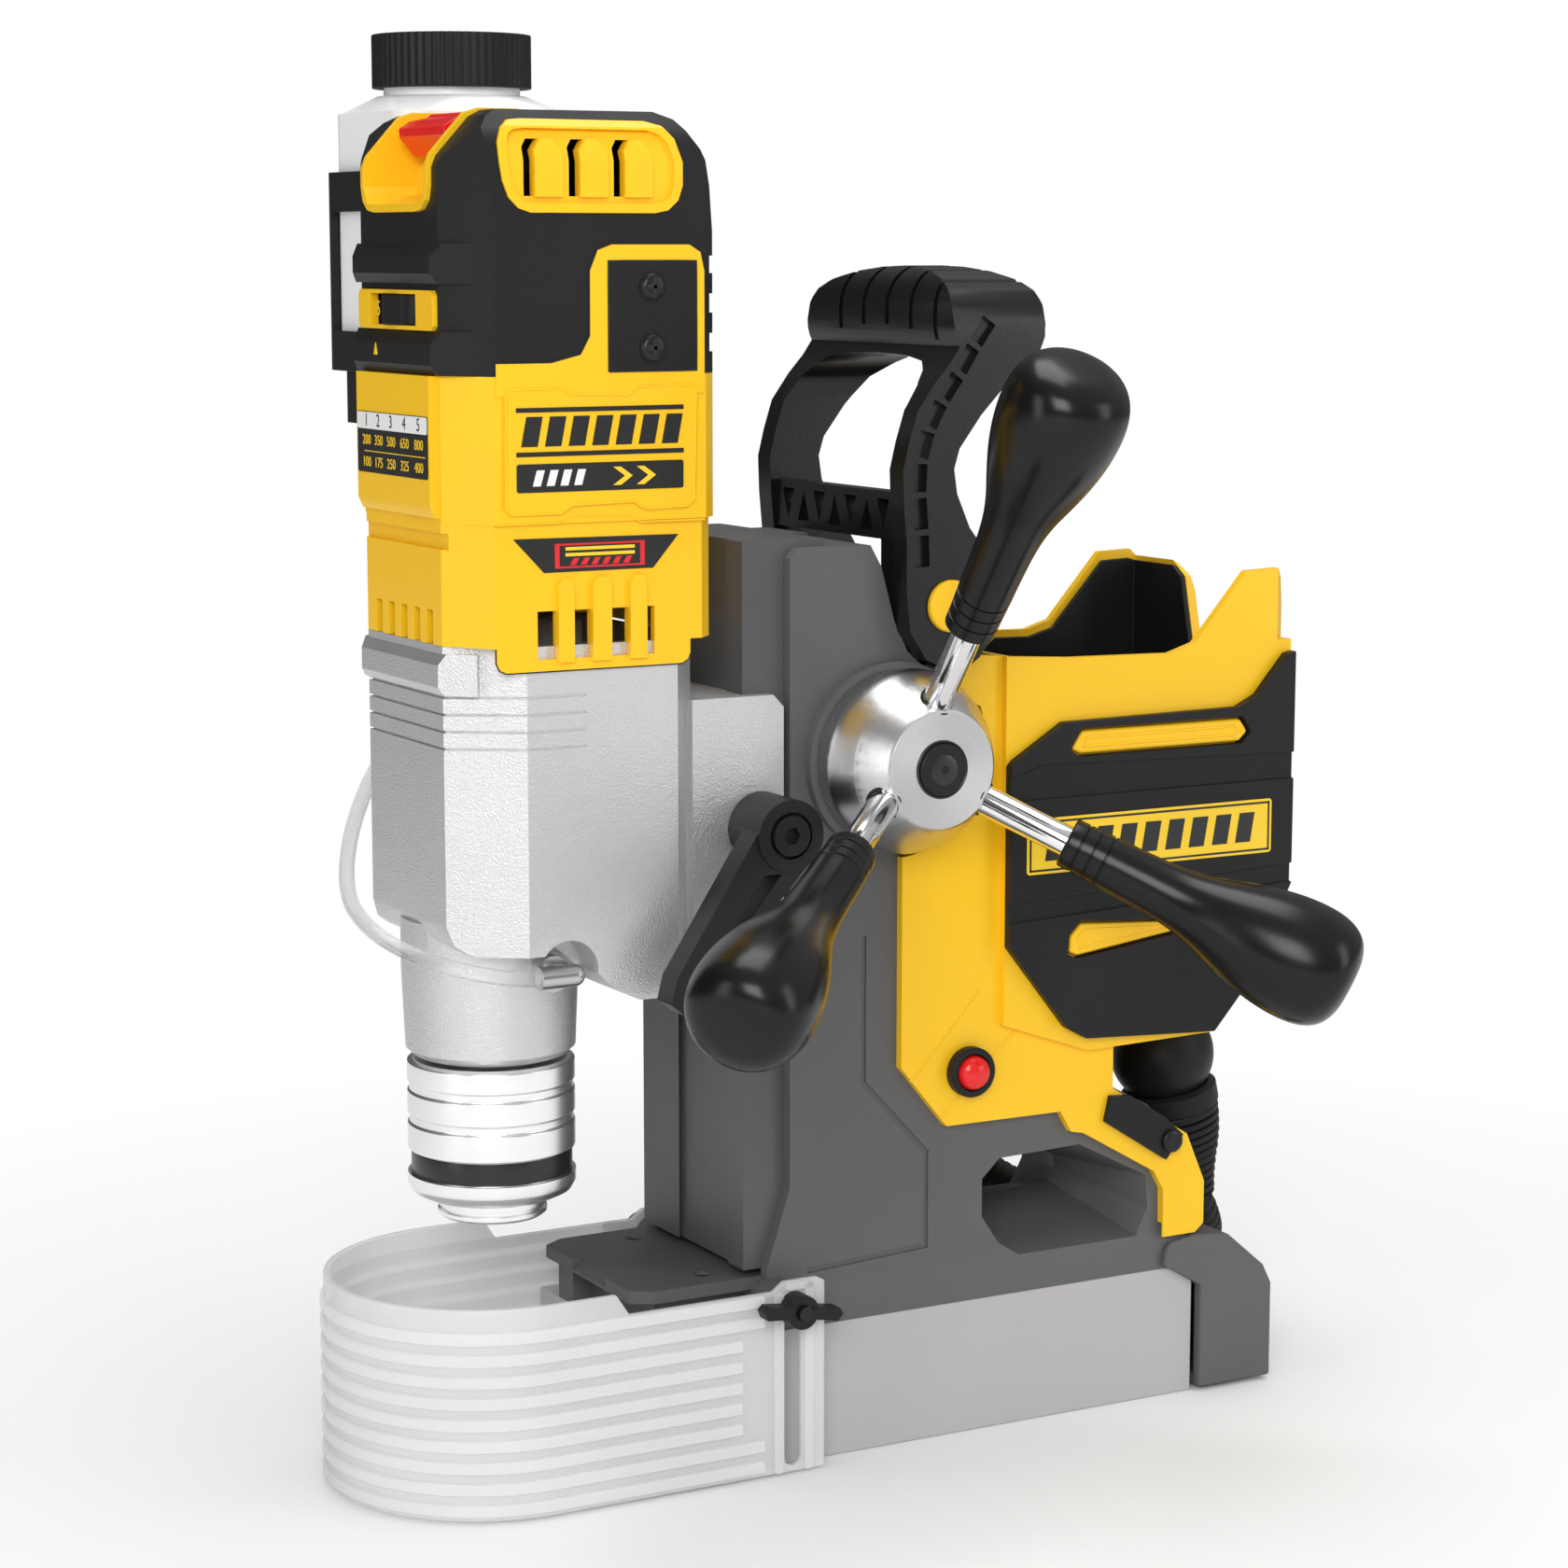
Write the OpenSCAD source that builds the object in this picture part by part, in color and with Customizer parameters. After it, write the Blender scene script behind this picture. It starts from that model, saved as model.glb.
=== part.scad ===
// Cordless magnetic drill press: magnet base, sliding drill head, battery dock.
// Millimetres. The origin is the centre of the magnet's foot, +Z up, +X to the
// battery end, -Y to the side with the feed handles.

/* [Magnet base] */
// Length of the magnet
magnet_l = 210; // [205:1:215]
// Width of the magnet
magnet_w = 84; // [82:1:86]
// Height of the magnet
magnet_h = 45.5; // [44:0.5:46]
// Height of the casting's foot plate above the floor
plate_top = 62.8; // [61:0.1:64]

/* [Casting] */
// Half of the casting's width
casting_half = 40; // [39.5:0.1:41]
// Height of the casting's top
casting_top = 300; // [296:1:301]

/* [Feed] */
// Half of the feed slide's width
slide_half = 35.75; // [35:0.05:35.85]
// Height of the slide's lower end when the head is down
slide_foot = 65.5; // [64.5:0.1:67]
// Length of the feed slide
slide_l = 237; // [230:1:240]
// X of the feed shaft
hub_x = -16.5; // [-17:0.1:-16]
// Z of the feed shaft
hub_z = 231; // [229:0.5:233]
// Angle of the spokes away from the hub's plane
spoke_tilt = 35; // [33:0.5:37]

/* [Drill head] */
// X of the spindle's axis
spindle_x = -141; // [-142:0.1:-140]
// Radius of the arbor's bore in the chuck
arbor_r = 9.525; // [9.5:0.005:9.55]
// Half of the motor cover's width
head_half = 46; // [45:0.5:47]
// Height of the cover's top
head_top = 435.3; // [434:0.1:436]

/* [Guard] */
// Outer radius of the guard's round end
guard_r = 52; // [51.5:0.1:53]
// Thickness of the guard's wall
guard_wall = 2.4; // [2:0.1:2.8]

/* [Bottle] */
// Width of the coolant bottle
bottle_w = 62; // [60:1:63]

/* [Hidden] */
$fn = 64;
mag_x = magnet_l / 2;
mag_y = magnet_w / 2;
slide_top = slide_foot + slide_l;
pitch_m = 1.5;
pinion_teeth = 16;
pinion_pr = pitch_m * pinion_teeth / 2;
rack_x = hub_x - pinion_pr;
rack_pitch = PI * pitch_m;
guard_cx = -144;
guard_rear = -47;
stud_x = -58.8;
stud_z = 56;
dock_half = 46;
bottle_c = [spindle_x + 26, 80];
ball_c = [121.5, 2, 110];
lever_c = [-65, 212];
motor_c = [spindle_x + 12, 0];
idler_c = [spindle_x + 24.52, 19.29];
mesh_si = atan2(19.29, 24.52);
mesh_im = atan2(-19.29, -12.52);
BLACK = [0.13, 0.13, 0.13];
GREY = [0.36, 0.36, 0.37];
YELLOW = [0.98, 0.78, 0.08];
SILVER = [0.78, 0.78, 0.78];

// Route of the clear coolant tube, from the valve under the bottle to the port
tube_route = [[-115, 80, 326], [-115, 79, 300], [-120, 74, 276], [-132, 65, 256],
    [-147, 56, 238], [-163, 45, 222], [-176, 30, 206], [-184, 12, 192],
    [-184, -6, 184], [-177, -22, 178], [-164, -33, 173.4], [-150, -36.8, 170.4],
    [-141.2, -37, 169.5]];
tube_d = 5;
// Route of the corrugated power conduit, from the dock's swivel to the slide's gland
conduit_route = [[130.2, 2, 72], [133.2, 2, 59.5], [140.5, 5, 48.5], [148, 13, 39], [153, 26, 33],
    [151, 41, 31], [140, 55, 32], [121, 61, 38], [102, 62, 47], [84, 62, 58], [66, 62, 72],
    [46, 61.5, 90], [26, 60, 110], [8, 58, 132], [-8, 56, 151.5], [-20, 54.9, 166], [-28, 54.6, 172.6],
    [-33, 54.5, 174.3], [-37, 54.5, 174.6]];
conduit_d = 15;

// ---------------------------------------------------------------- helpers
// A side view outline in X and Z, made solid from y0 to y1
module side(points, y0, y1) {
    translate([0, y1, 0]) rotate([90, 0, 0]) linear_extrude(y1 - y0) polygon(points);
}
// An end view outline in Y and Z, made solid from x0 to x1
module across(points, x0, x1) {
    translate([x0, 0, 0]) rotate([90, 0, 90]) linear_extrude(x1 - x0) polygon(points);
}
module block(a, b) {
    translate(a) cube(b - a);
}
// A cylinder along Y from y0 to y1
module rod_y(x, z, r, y0, y1) {
    translate([x, y1, z]) rotate([90, 0, 0]) cylinder(r = r, h = y1 - y0);
}
module ring_z(r_out, r_in, h) {
    difference() {
        cylinder(r = r_out, h = h);
        translate([0, 0, -1]) cylinder(r = r_in, h = h + 2);
    }
}
// Points of a rectangle with round corners, centred on the origin
function round_rect(w, h, r, n = 6) = [for (q = [0:3]) for (i = [0:n])
    let (a = 90 * q + 90 * i / n, sx = (q == 0 || q == 3) ? 1 : -1, sy = q < 2 ? 1 : -1)
    [sx * (w / 2 - r) + r * cos(a), sy * (h / 2 - r) + r * sin(a)]];
// Plan outline of the head: a flat front, two facets and a chamfered rear
function head_plan(front, flat, shoulder, half, rear, cut) = [[front, flat], [shoulder, half],
    [rear - cut, half], [rear, half - cut], [rear, cut - half], [rear - cut, -half],
    [shoulder, -half], [front, -flat]];
function degrees_inv(a) = tan(a) * 180 / PI - a;
// Half of a tooth's angle at radius r, for an involute tooth with some backlash
function tooth_half(m, n, r, play) = let (rp = m * n / 2, rb = rp * cos(20))
    (PI * m / 2 - play) / (2 * rp) * 180 / PI + degrees_inv(20)
    - degrees_inv(acos(min(1, rb / max(r, rb))));
module gear_plan(m, n, play, tip = 0.8) {
    rp = m * n / 2;
    radii = [rp - 1.15 * m, rp - 0.5 * m, rp, rp + tip * m * 0.5, rp + tip * m];
    polygon([for (i = [0:n - 1]) each concat(
        [for (r = radii) let (a = 360 * i / n - tooth_half(m, n, r, play)) [r * cos(a), r * sin(a)]],
        [for (k = [4:-1:0]) let (r = radii[k], a = 360 * i / n + tooth_half(m, n, r, play))
            [r * cos(a), r * sin(a)]])]);
}
// Sweep of a tube along a route, as one closed polyhedron
function unit(v) = v / norm(v);
function spline_at(p, i, t) = let (n = len(p) - 1, a = p[max(i - 1, 0)], b = p[i],
    c = p[min(i + 1, n)], d = p[min(i + 2, n)])
    0.5 * (2 * b + (c - a) * t + (2 * a - 5 * b + 4 * c - d) * t * t
    + (3 * b - a - 3 * c + d) * t * t * t);
function smooth(p, k) = [for (i = [0:len(p) - 2]) for (j = [0:k - 1]) spline_at(p, i, j / k),
    p[len(p) - 1]];
module tube(route, d, sides = 10, k = 2) {
    path = smooth(route, k);
    n = len(path);
    rings = [for (i = [0:n - 1]) let (
        t = unit(path[min(i + 1, n - 1)] - path[max(i - 1, 0)]),
        side_dir = unit(cross(t, abs(t[2]) > 0.9 ? [0, 1, 0] : [0, 0, 1])),
        up_dir = cross(side_dir, t))
        each [for (s = [0:sides - 1]) path[i] + d / 2 * (cos(360 * s / sides) * side_dir
            + sin(360 * s / sides) * up_dir)]];
    walls = [for (i = [0:n - 2]) for (s = [0:sides - 1]) let (
        a = i * sides + s, b = i * sides + (s + 1) % sides)
        each [[a, b, b + sides], [a, b + sides, a + sides]]];
    polyhedron(rings, concat(walls, [[for (s = [sides - 1:-1:0]) s]],
        [[for (s = [0:sides - 1]) (n - 1) * sides + s]]));
}

// ---------------------------------------------------------------- magnet base
module magnet_housing() {
    color([0.72, 0.71, 0.71]) difference() {
        block([-mag_x, -mag_y, 0], [mag_x, mag_y, magnet_h]);
        block([-mag_x + 5, -mag_y + 5, -1], [mag_x - 5, mag_y - 5, 38]);
    }
    // centre pole
    color([0.72, 0.71, 0.71]) block([-84, -16, 0], [84, 16, 38]);
}
module magnet_coil() {
    color([0.72, 0.4, 0.2]) translate([0, 0, 12]) difference() {
        linear_extrude(25) polygon(round_rect(192, 66, 8));
        translate([0, 0, -1]) linear_extrude(27) polygon(round_rect(170, 34, 2));
    }
}
module magnet_potting() {
    color(BLACK) difference() {
        block([-99.9, -36.9, 0.5], [99.9, 36.9, 11.5]);
        block([-84.1, -16.1, 0], [84.1, 16.1, 12]);
    }
}
// Underside and top of the front plate
front_plate = [58.8, 63];
casting_side = [[-62, 50], [-62, 66], [-53.5, 92], [-53.5, 297], [-50.5, casting_top],
    [-24, casting_top], [-20, 293], [-15, 275], [-10, 265], [-3, 259], [6, 255], [24, 255],
    [24, 138], [60, 118], [86, 104], [98, 94], [103, 80], [103, 50]];
opening_side = [[19, 73], [19, 86], [26, 92.5], [59, 93.5], [87, 79], [88, 67], [83, 57.5],
    [34, 57.5], [26, 62.5]];
opening_core = [[34, 72], [34, 84], [38, 88], [57, 88], [74, 79], [75, 74], [72, 70], [44, 68],
    [38, 69]];
panel_line = [[-26, 172], [-26, 124], [-2, 98], [-2, 66], [-46, 63.5]];
// A shallow groove on both sides of the casting along a line of points
module side_groove(points, width, depth) {
    for (s = [-1, 1]) for (i = [0:len(points) - 2]) {
        a = points[i];
        b = points[i + 1];
        translate([a[0], s * casting_half, a[1]]) rotate([0, -atan2(b[1] - a[1], b[0] - a[0]), 0])
            translate([-width / 2, -depth, -width / 2])
            cube([norm(b - a) + width, 2 * depth, width]);
    }
}
module base_casting() {
    color(GREY) difference() {
        union() {
            side(casting_side, -casting_half, casting_half);
            // foot with a bevel up to the casting's side
            across([[-42, magnet_h], [-42, 54], [-39.5, 61.5], [39.5, 61.5], [42, 54],
                [42, magnet_h]], -64, 103);
            // front plate, with a leg and a block under it
            translate([0, 0, front_plate[0]]) linear_extrude(front_plate[1] - front_plate[0])
                polygon([[-60, 36], [-100, 36], [-107.6, 31.2], [-107.6, -31.2], [-100.5, -35.7],
                [-60, -36]]);
            block([-97, -28, magnet_h], [-60, 28, front_plate[0] + 0.5]);
            block([-104.5, 17, magnet_h], [-96, 28, front_plate[0] + 0.5]);
            rod_y(hub_x, hub_z, 31.5, -casting_half - 3.5, casting_half + 3.5);
            // pads behind the guard's studs
            rod_y(stud_x, stud_z, 7, -48.4, 48.4);
        }
        // channel of the slide and of its rack
        block([-70, -slide_half - 0.15, plate_top], [-38.3, slide_half + 0.15, 320]);
        block([-39, -14.2, plate_top], [-25.5, 14.2, 320]);
        // room for the pinion and the shaft's bushings
        rod_y(hub_x, hub_z, 15.5, -14.2, 14.2);
        rod_y(hub_x, hub_z, 11, -60, 60);
        // wiring space, open to the dock
        block([-1, -33, 150], [30, 33, 246]);
        block([-1, -33, 110], [15, 33, 151]);
        // hand opening, wider at both sides than at its middle
        hull() {
            side(opening_side, -43, -42.9);
            side(opening_core, -1, 0.1);
        }
        hull() {
            side(opening_side, 42.9, 43);
            side(opening_core, -0.1, 1);
        }
        side_groove(panel_line, 1.8, 0.7);
        // slot that the slide's cable gland travels in
        block([-51, 30, 167], [-41, 60, 293]);
        // sloped notch of the front plate
        side([[-101.5, front_plate[1] + 0.1], [-108, front_plate[1] + 0.1],
            [-108, front_plate[0] + 0.8]], -14, 11.5);
        // screw holes of the front plate
        for (y = [-25, 25]) translate([-78, y, 40]) cylinder(r = 2.9, h = 30);
        // hole of the magnet's button
        rod_y(12, 124.6, 6.6, -45, -30);
    }
}
module shaft_bushings() {
    color([0.75, 0.6, 0.3]) for (s = [-1, 1]) difference() {
        rod_y(hub_x, hub_z, 10.98, min(s * 15, s * 43), max(s * 15, s * 43));
        rod_y(hub_x, hub_z, 8.05, -60, 60);
    }
}
module end_cap() {
    body = [[107, 1.5], [137, 1.5], [137, 35], [133.5, 42], [118, 55.2], [105, 56.4],
        [94.5, 55], [92.4, 52.5], [91.4, 46.8], [94, 45.7], [107, 38]];
    inner = [[104, 5], [132.5, 5], [132.5, 34], [130, 39], [116, 50.5], [112, 51], [112, 38],
        [104, 38]];
    color(GREY) difference() {
        side(body, -45, 45);
        side(inner, -40, 40);
        block([90, -42.1, 40], [103.1, 42.1, 60]);
        block([90, -42.1, 0], [105.1, 42.1, magnet_h + 0.1]);
    }
}

// ---------------------------------------------------------------- carry handle
arm_side = [[2, 258.5], [-8, 263], [-14, 272], [-15.5, 285], [-15.5, 300], [-16.6, 312], [-17, 324],
    [-14.8, 333], [-11.6, 343], [-5, 352], [0.5, 358], [7.4, 368], [13, 375.5], [19, 381], [27, 385.6],
    [32, 384.5], [36, 378], [36.3, 366], [32.4, 357], [21.3, 350.5], [12, 341], [4, 330.5], [2, 324],
    [3.2, 316], [8, 305], [15, 296], [19.5, 288], [20, 278], [17.5, 269], [11, 262]];
// Middle of the ribbed channel that follows each arm's front edge
arm_channel = [[-9.5, 292], [-10, 304], [-11, 316], [-10.6, 327], [-7.6, 337], [-2.6, 346], [3.6, 354.5],
    [9.4, 363.5], [16, 372]];
// Half of the handle's arch, seen from the front: its outside and the underside of the grip
arch_outside = [[48.5, 250], [48.5, 363], [48, 370], [46.2, 376], [42.5, 380.6], [36, 383.8], [24, 386.6],
    [12, 388], [0, 388.4]];
arch_underside = [[39.9, 250], [39.9, 344], [38.6, 350.5], [35.3, 355.2], [30.4, 358], [18, 359.6],
    [0, 360]];
function both_halves(p) = concat(p, [for (i = [len(p) - 2:-1:0]) [-p[i][0], p[i][1]]]);
grip_c = [19.3, 372.5];
grip_grooves = [-36, -20.75, -5.5, 9.75, 25];
module carry_handle() {
    color(BLACK) difference() {
        union() {
            intersection() {
                for (s = [-1, 1]) side(arm_side, min(s * 39.9, s * 48.5), max(s * 39.9, s * 48.5));
                across(both_halves(arch_outside), -30, 50);
            }
            // foot on the casting's shoulder
            for (s = [-1, 1]) side([[-12.5, 302], [-12.5, 272], [-2.5, 260], [6, 255.3], [14, 255.3],
                [14, 280], [4, 302]], min(s * 27, s * 39.9), max(s * 27, s * 39.9));
            // grip, arched from arm to arm
            intersection() {
                union() {
                    translate([grip_c[0], 48.5, grip_c[1]]) rotate([90, 0, 0]) linear_extrude(97)
                        polygon(round_rect(34.5, 33, 14, 8));
                    side(arm_side, -48.5, 48.5);
                }
                difference() {
                    across(both_halves(arch_outside), -30, 50);
                    across(both_halves(arch_underside), -40, 60);
                }
            }
            // brace
            block([-14.5, -42, 301], [-8, 42, 316.5]);
        }
        // channels of the arms, with a rib between each pair of pockets
        for (s = [-1, 1]) for (i = [0:len(arm_channel) - 2]) {
            a = arm_channel[i];
            b = arm_channel[i + 1];
            translate([a[0], s * 48.5, a[1]]) rotate([0, -atan2(b[1] - a[1], b[0] - a[0]), 0])
                translate([1, -2.5, -2.6]) cube([norm(b - a) - 2, 5, 5.2]);
        }
        // finger grooves over the grip
        for (y = grip_grooves) {
            drop = lookup(abs(y), [[0, 0], [12, 0.4], [24, 1.8], [36, 4.6]]);
            translate([grip_c[0], y + 1.2, grip_c[1] - drop]) rotate([90, 0, 0]) linear_extrude(2.4)
                difference() {
                    translate([-22, -3]) square([44, 30]);
                    polygon(round_rect(32, 29.6, 12.7, 8));
                }
        }
        // truss windows of the brace
        for (i = [-3:3]) translate([-20, i * 10.5, 0]) rotate([90, 0, 90]) linear_extrude(30)
            polygon(i % 2 == 0 ? [[-4, 303.5], [4, 303.5], [0, 313.5]] : [[-4, 314], [4, 314], [0, 304]]);
        // screw holes
        rod_y(1, 280, 4.1, -60, 60);
        for (s = [-1, 1]) rod_y(1, 280, 8.7, min(s * 45.4, s * 60), max(s * 45.4, s * 60));
    }
}
module handle_caps() {
    color(YELLOW) for (s = [-1, 1]) {
        rod_y(1, 280, 4, min(s * 27.5, s * 46), max(s * 27.5, s * 46));
        rod_y(1, 280, 8.5, min(s * 45.5, s * 50.5), max(s * 45.5, s * 50.5));
    }
}

// ---------------------------------------------------------------- battery dock
dock_side = [[24.2, 262], [49, 260.4], [89, 259.6], [99, 262.6], [119.8, 286], [133, 286.5],
    [136.8, 283], [139, 274], [139, 178], [121.5, 144.5], [107.5, 128], [58, 127],
    [24.2, 139]];
skirt_side = [[6, 263.5], [24.3, 262], [24.3, 139], [58, 127], [70, 126.5], [70, 112], [89, 100],
    [101, 92.5], [108.5, 75], [108.5, 60], [105, 57], [91.6, 57], [91.4, 74], [87.3, 81],
    [58.4, 97.8], [53.4, 98.8], [49, 106.3], [4, 106.6], [-13.5, 128], [-13.5, 199], [-8, 204],
    [16, 214], [20, 231], [16, 246], [6, 250]];
bay_side = [[27.2, 300], [27.2, 150], [110, 150], [135.5, 190], [135.5, 300]];
rear_notch = [[-33, 290], [-30, 284], [-20, 276], [-12, 266], [-6, 254], [6, 254],
    [9.3, 268], [12, 279], [19.5, 284], [20.5, 290]];
module dock_box(y0, y1) {
    difference() {
        side(dock_side, y0, y1);
        side(bay_side, -dock_half + 3, dock_half - 3);
        // board space under the bay
        side([[27.2, 147], [27.2, 142], [60, 131], [105, 131], [117, 147]], -40, 40);
        across(rear_notch, 120, 150);
        // corners of the rear wall
        for (s = [-1, 1]) translate([0, 0, 262]) linear_extrude(40)
            polygon([[133, s * 46.1], [145, s * 34.1], [145, s * 50], [133, s * 50]]);
        // wiring passage from the casting
        block([20, -30, 152], [30, 30, 170]);
        // cable outlet of the swivel
        translate(ball_c) rotate([0, 150, 0]) translate([0, 0, -50]) cylinder(r = 12.3, h = 45);
    }
}
module skirt(y0, y1) {
    side(skirt_side, y0, y1);
}
module dock_shell_near() {
    color(YELLOW) difference() {
        union() {
            dock_box(-dock_half, -0.02);
            skirt(-43.2, -casting_half - 0.02);
        }
        rod_y(hub_x, hub_z, 33, -60, -30);
        rod_y(12, 124.6, 6.6, -50, -36);
        rod_y(1, 280, 23, -60, -30);
        block([88, -46, 0], [102.8, -39, 56.6]);
        block([88, -42.3, 50], [103.3, -39, 61.8]);
    }
}
module dock_shell_far() {
    color(YELLOW) difference() {
        union() {
            dock_box(0.02, dock_half);
            skirt(casting_half + 0.02, 43.2);
        }
        rod_y(hub_x, hub_z, 33, 30, 60);
        rod_y(1, 280, 23, 30, 60);
        block([88, 39, 0], [102.8, 46, 56.6]);
        block([88, 39, 50], [103.3, 42.3, 61.8]);
    }
}
module dock_liner() {
    inner = [[29.2, 300], [29.2, 152], [109, 152], [133.5, 191], [133.5, 300]];
    rim = [[24, 259.5], [49, 258], [89, 257.2], [99, 260], [119.8, 283], [131, 283.5],
        [140, 281], [140, 140], [24, 140]];
    color(BLACK) difference() {
        intersection() {
            side([[27.3, 300], [27.3, 150.1], [109.9, 150.1], [135.4, 190.1], [135.4, 300]],
                -42.9, 42.9);
            side(rim, -50, 50);
        }
        side(inner, -40.9, 40.9);
        across(rear_notch, 120, 150);
    }
}
module battery_terminals() {
    color(BLACK) {
        for (s = [-1, 1]) block([29.3, min(s * 22, s * 27), 175], [35, max(s * 22, s * 27), 250]);
        block([29.3, -16, 152.1], [42, 16, 176]);
    }
    color(SILVER) for (y = [-11, -3.5, 3.5, 11]) block([33, y - 0.6, 176], [41, y + 0.6, 192]);
}
pad_side = [[26, 228], [45, 239.5], [115, 240.3], [123, 244], [135, 257.5], [138.6, 258.3],
    [138.4, 178], [121.3, 144.6], [107.3, 129], [55, 132], [47, 136.5], [24, 165.5], [24, 226]];
module side_pad(s) {
    face = s * (dock_half + 4);
    difference() {
        side(pad_side, s > 0 ? dock_half : -dock_half - 4, s > 0 ? dock_half + 4 : -dock_half);
        // slots that show the shell
        side([[47, 230], [51, 227.8], [116, 227.8], [120, 231.5], [116.5, 237], [51.5, 237]],
            s > 0 ? 40 : -60, s > 0 ? 60 : -40);
        side([[47, 161.5], [50.5, 159.8], [99.5, 165.8], [102, 168.5], [52, 172.3], [47.5, 168]],
            s > 0 ? 40 : -60, s > 0 ? 60 : -40);
        // sunk bands above and below the middle
        side([[20, 214.6], [140, 214.6], [140, 223.4], [37, 226], [20, 221]], face - 1.2, face + 1.2);
        side([[20, 173.6], [140, 178.8], [140, 185], [20, 180]], face - 1.2, face + 1.2);
    }
}
module side_pad_near() {
    color(BLACK) side_pad(-1);
}
module side_pad_far() {
    color(BLACK) side_pad(1);
}
module control_board() {
    color([0.1, 0.4, 0.2]) block([2, -28, 158], [4, 28, 238]);
    color(BLACK) {
        block([4, -20, 165], [14, -6, 190]);
        block([4, 4, 200], [12, 22, 222]);
    }
    color(SILVER) for (y = [-14, 0, 14]) translate([4, y, 230]) rotate([0, 90, 0])
        cylinder(r = 5, h = 14);
}
module button_bezel() {
    color(BLACK) difference() {
        union() {
            rod_y(12, 124.6, 8.4, -47.5, -43.3);
            rod_y(12, 124.6, 6.5, -43.4, -36.5);
        }
        rod_y(12, 124.6, 6, -48, -38);
    }
}
module rear_covers() {
    color(BLACK) for (s = [-1, 1]) difference() {
        side([[66, 101], [68, 109.8], [76, 109.2], [90, 100.2], [98, 93], [91, 85]],
            s > 0 ? 43.3 : -45.5, s > 0 ? 45.5 : -43.3);
        rod_y(93, 91.5, 2.2, -60, 60);
    }
}
module fixings() {
    color(GREY) for (s = [-1, 1]) {
        rod_y(93, 91.5, 2.1, min(s * 43.4, s * 46), max(s * 43.4, s * 46));
        rod_y(93, 91.5, 3.4, min(s * 45.6, s * 47), max(s * 45.6, s * 47));
    }
    color(BLACK) for (y = [-25, 25]) translate([-78, y, 0]) {
        translate([0, 0, magnet_h]) cylinder(r = 2.85, h = 10);
        translate([0, 0, magnet_h + 10]) cylinder(r = 2.8, h = 6.5);
    }
    // studs of the guard
    color(SILVER) for (s = [-1, 1])
        rod_y(stud_x, stud_z, 2.5, min(s * 48.4, s * 61), max(s * 48.4, s * 61));
}
module cable_ball() {
    color(BLACK) translate(ball_c) rotate([0, 150, 0]) difference() {
        union() {
            sphere(r = 18.5);
            translate([0, 0, -26]) cylinder(r = 12, h = 16);
        }
        translate([0, 0, -40]) cylinder(r = 6, h = 80);
    }
}
module cable_bellows() {
    // outer radius of each rib, from the rim down
    ribs = [16.6, 16.4, 16, 15.5, 14.8, 14, 13, 12.2, 11.4, 10.7, 10.2];
    color(BLACK) translate(ball_c) rotate([0, 167, 0]) rotate_extrude() difference() {
        polygon(concat([[8.4, 12], [15, 12], [17.2, 13.4], [17.2, 19.5], [16.2, 20.5]],
            [for (i = [0:10]) each [[ribs[i], 21 + 3 * i], [ribs[i], 22.8 + 3 * i],
            [ribs[i] - 1.6, 23.4 + 3 * i]]], [[9.9, 54.5], [8.4, 54.5]]));
        circle(r = 18.9);
    }
}
module power_conduit() {
    color(BLACK) tube(conduit_route, conduit_d, 12);
}

// ---------------------------------------------------------------- feed slide
module slide_plan() {
    front = -68.4;
    polygon([[front, slide_half], [front, 9.5], [front + 1.5, 11], [front + 1.5, -26.4],
        [front, -24.9], [front, -slide_half], [-38.5, -slide_half], [-38.5, -13.8],
        [rack_x - 4, -13.8], [rack_x - 4, 13.8], [-38.5, 13.8], [-38.5, slide_half]]);
}
module feed_slide() {
    color(GREY) difference() {
        translate([0, 0, slide_foot]) linear_extrude(slide_l) slide_plan();
        // lightening pocket, open at the foot
        block([-64, -31, slide_foot - 1], [-43, 31, slide_top - 8]);
        rod_y(-46, 175, 4.05, 28, 40);
    }
}
module feed_rack() {
    h = rack_pitch / 2 - 0.12;
    root = rack_x - 1.15 * pitch_m;
    tip = rack_x + 0.8 * pitch_m;
    teeth = [-28:6];
    color(SILVER) translate([0, 10, 0]) rotate([90, 0, 0]) linear_extrude(20) polygon(concat(
        [[rack_x - 3.98, hub_z - 28.5 * rack_pitch]],
        [for (k = teeth) let (z = hub_z + (k + 0.5) * rack_pitch) each [
            [root, z - h / 2 - 1.15 * pitch_m * tan(20)], [tip, z - h / 2 + 0.8 * pitch_m * tan(20)],
            [tip, z + h / 2 - 0.8 * pitch_m * tan(20)], [root, z + h / 2 + 1.15 * pitch_m * tan(20)]]],
        [[root, hub_z + 7.5 * rack_pitch], [rack_x - 3.98, hub_z + 7.5 * rack_pitch]]));
}
module slide_gland() {
    color(BLACK) difference() {
        union() {
            rod_y(-46, 175, 4, 30, 45);
            rod_y(-46, 175, 10.5, 44, 64);
            translate([-46, 54.5, 175]) rotate([0, 92, 0]) cylinder(r = 10.3, h = 15);
        }
        translate([-46, 54.5, 175]) rotate([0, 92, 0]) translate([0, 0, 8.7]) cylinder(r = 8.7, h = 12);
    }
}

// ---------------------------------------------------------------- feed handles
module feed_shaft() {
    color(SILVER) rod_y(hub_x, hub_z, 8, -54, 44);
}
module feed_pinion() {
    color(SILVER) difference() {
        translate([hub_x, 10, hub_z]) rotate([90, 0, 0]) rotate([0, 0, 180]) linear_extrude(20)
            gear_plan(pitch_m, pinion_teeth, 0.12);
        rod_y(hub_x, hub_z, 8, -20, 20);
    }
}
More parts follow.
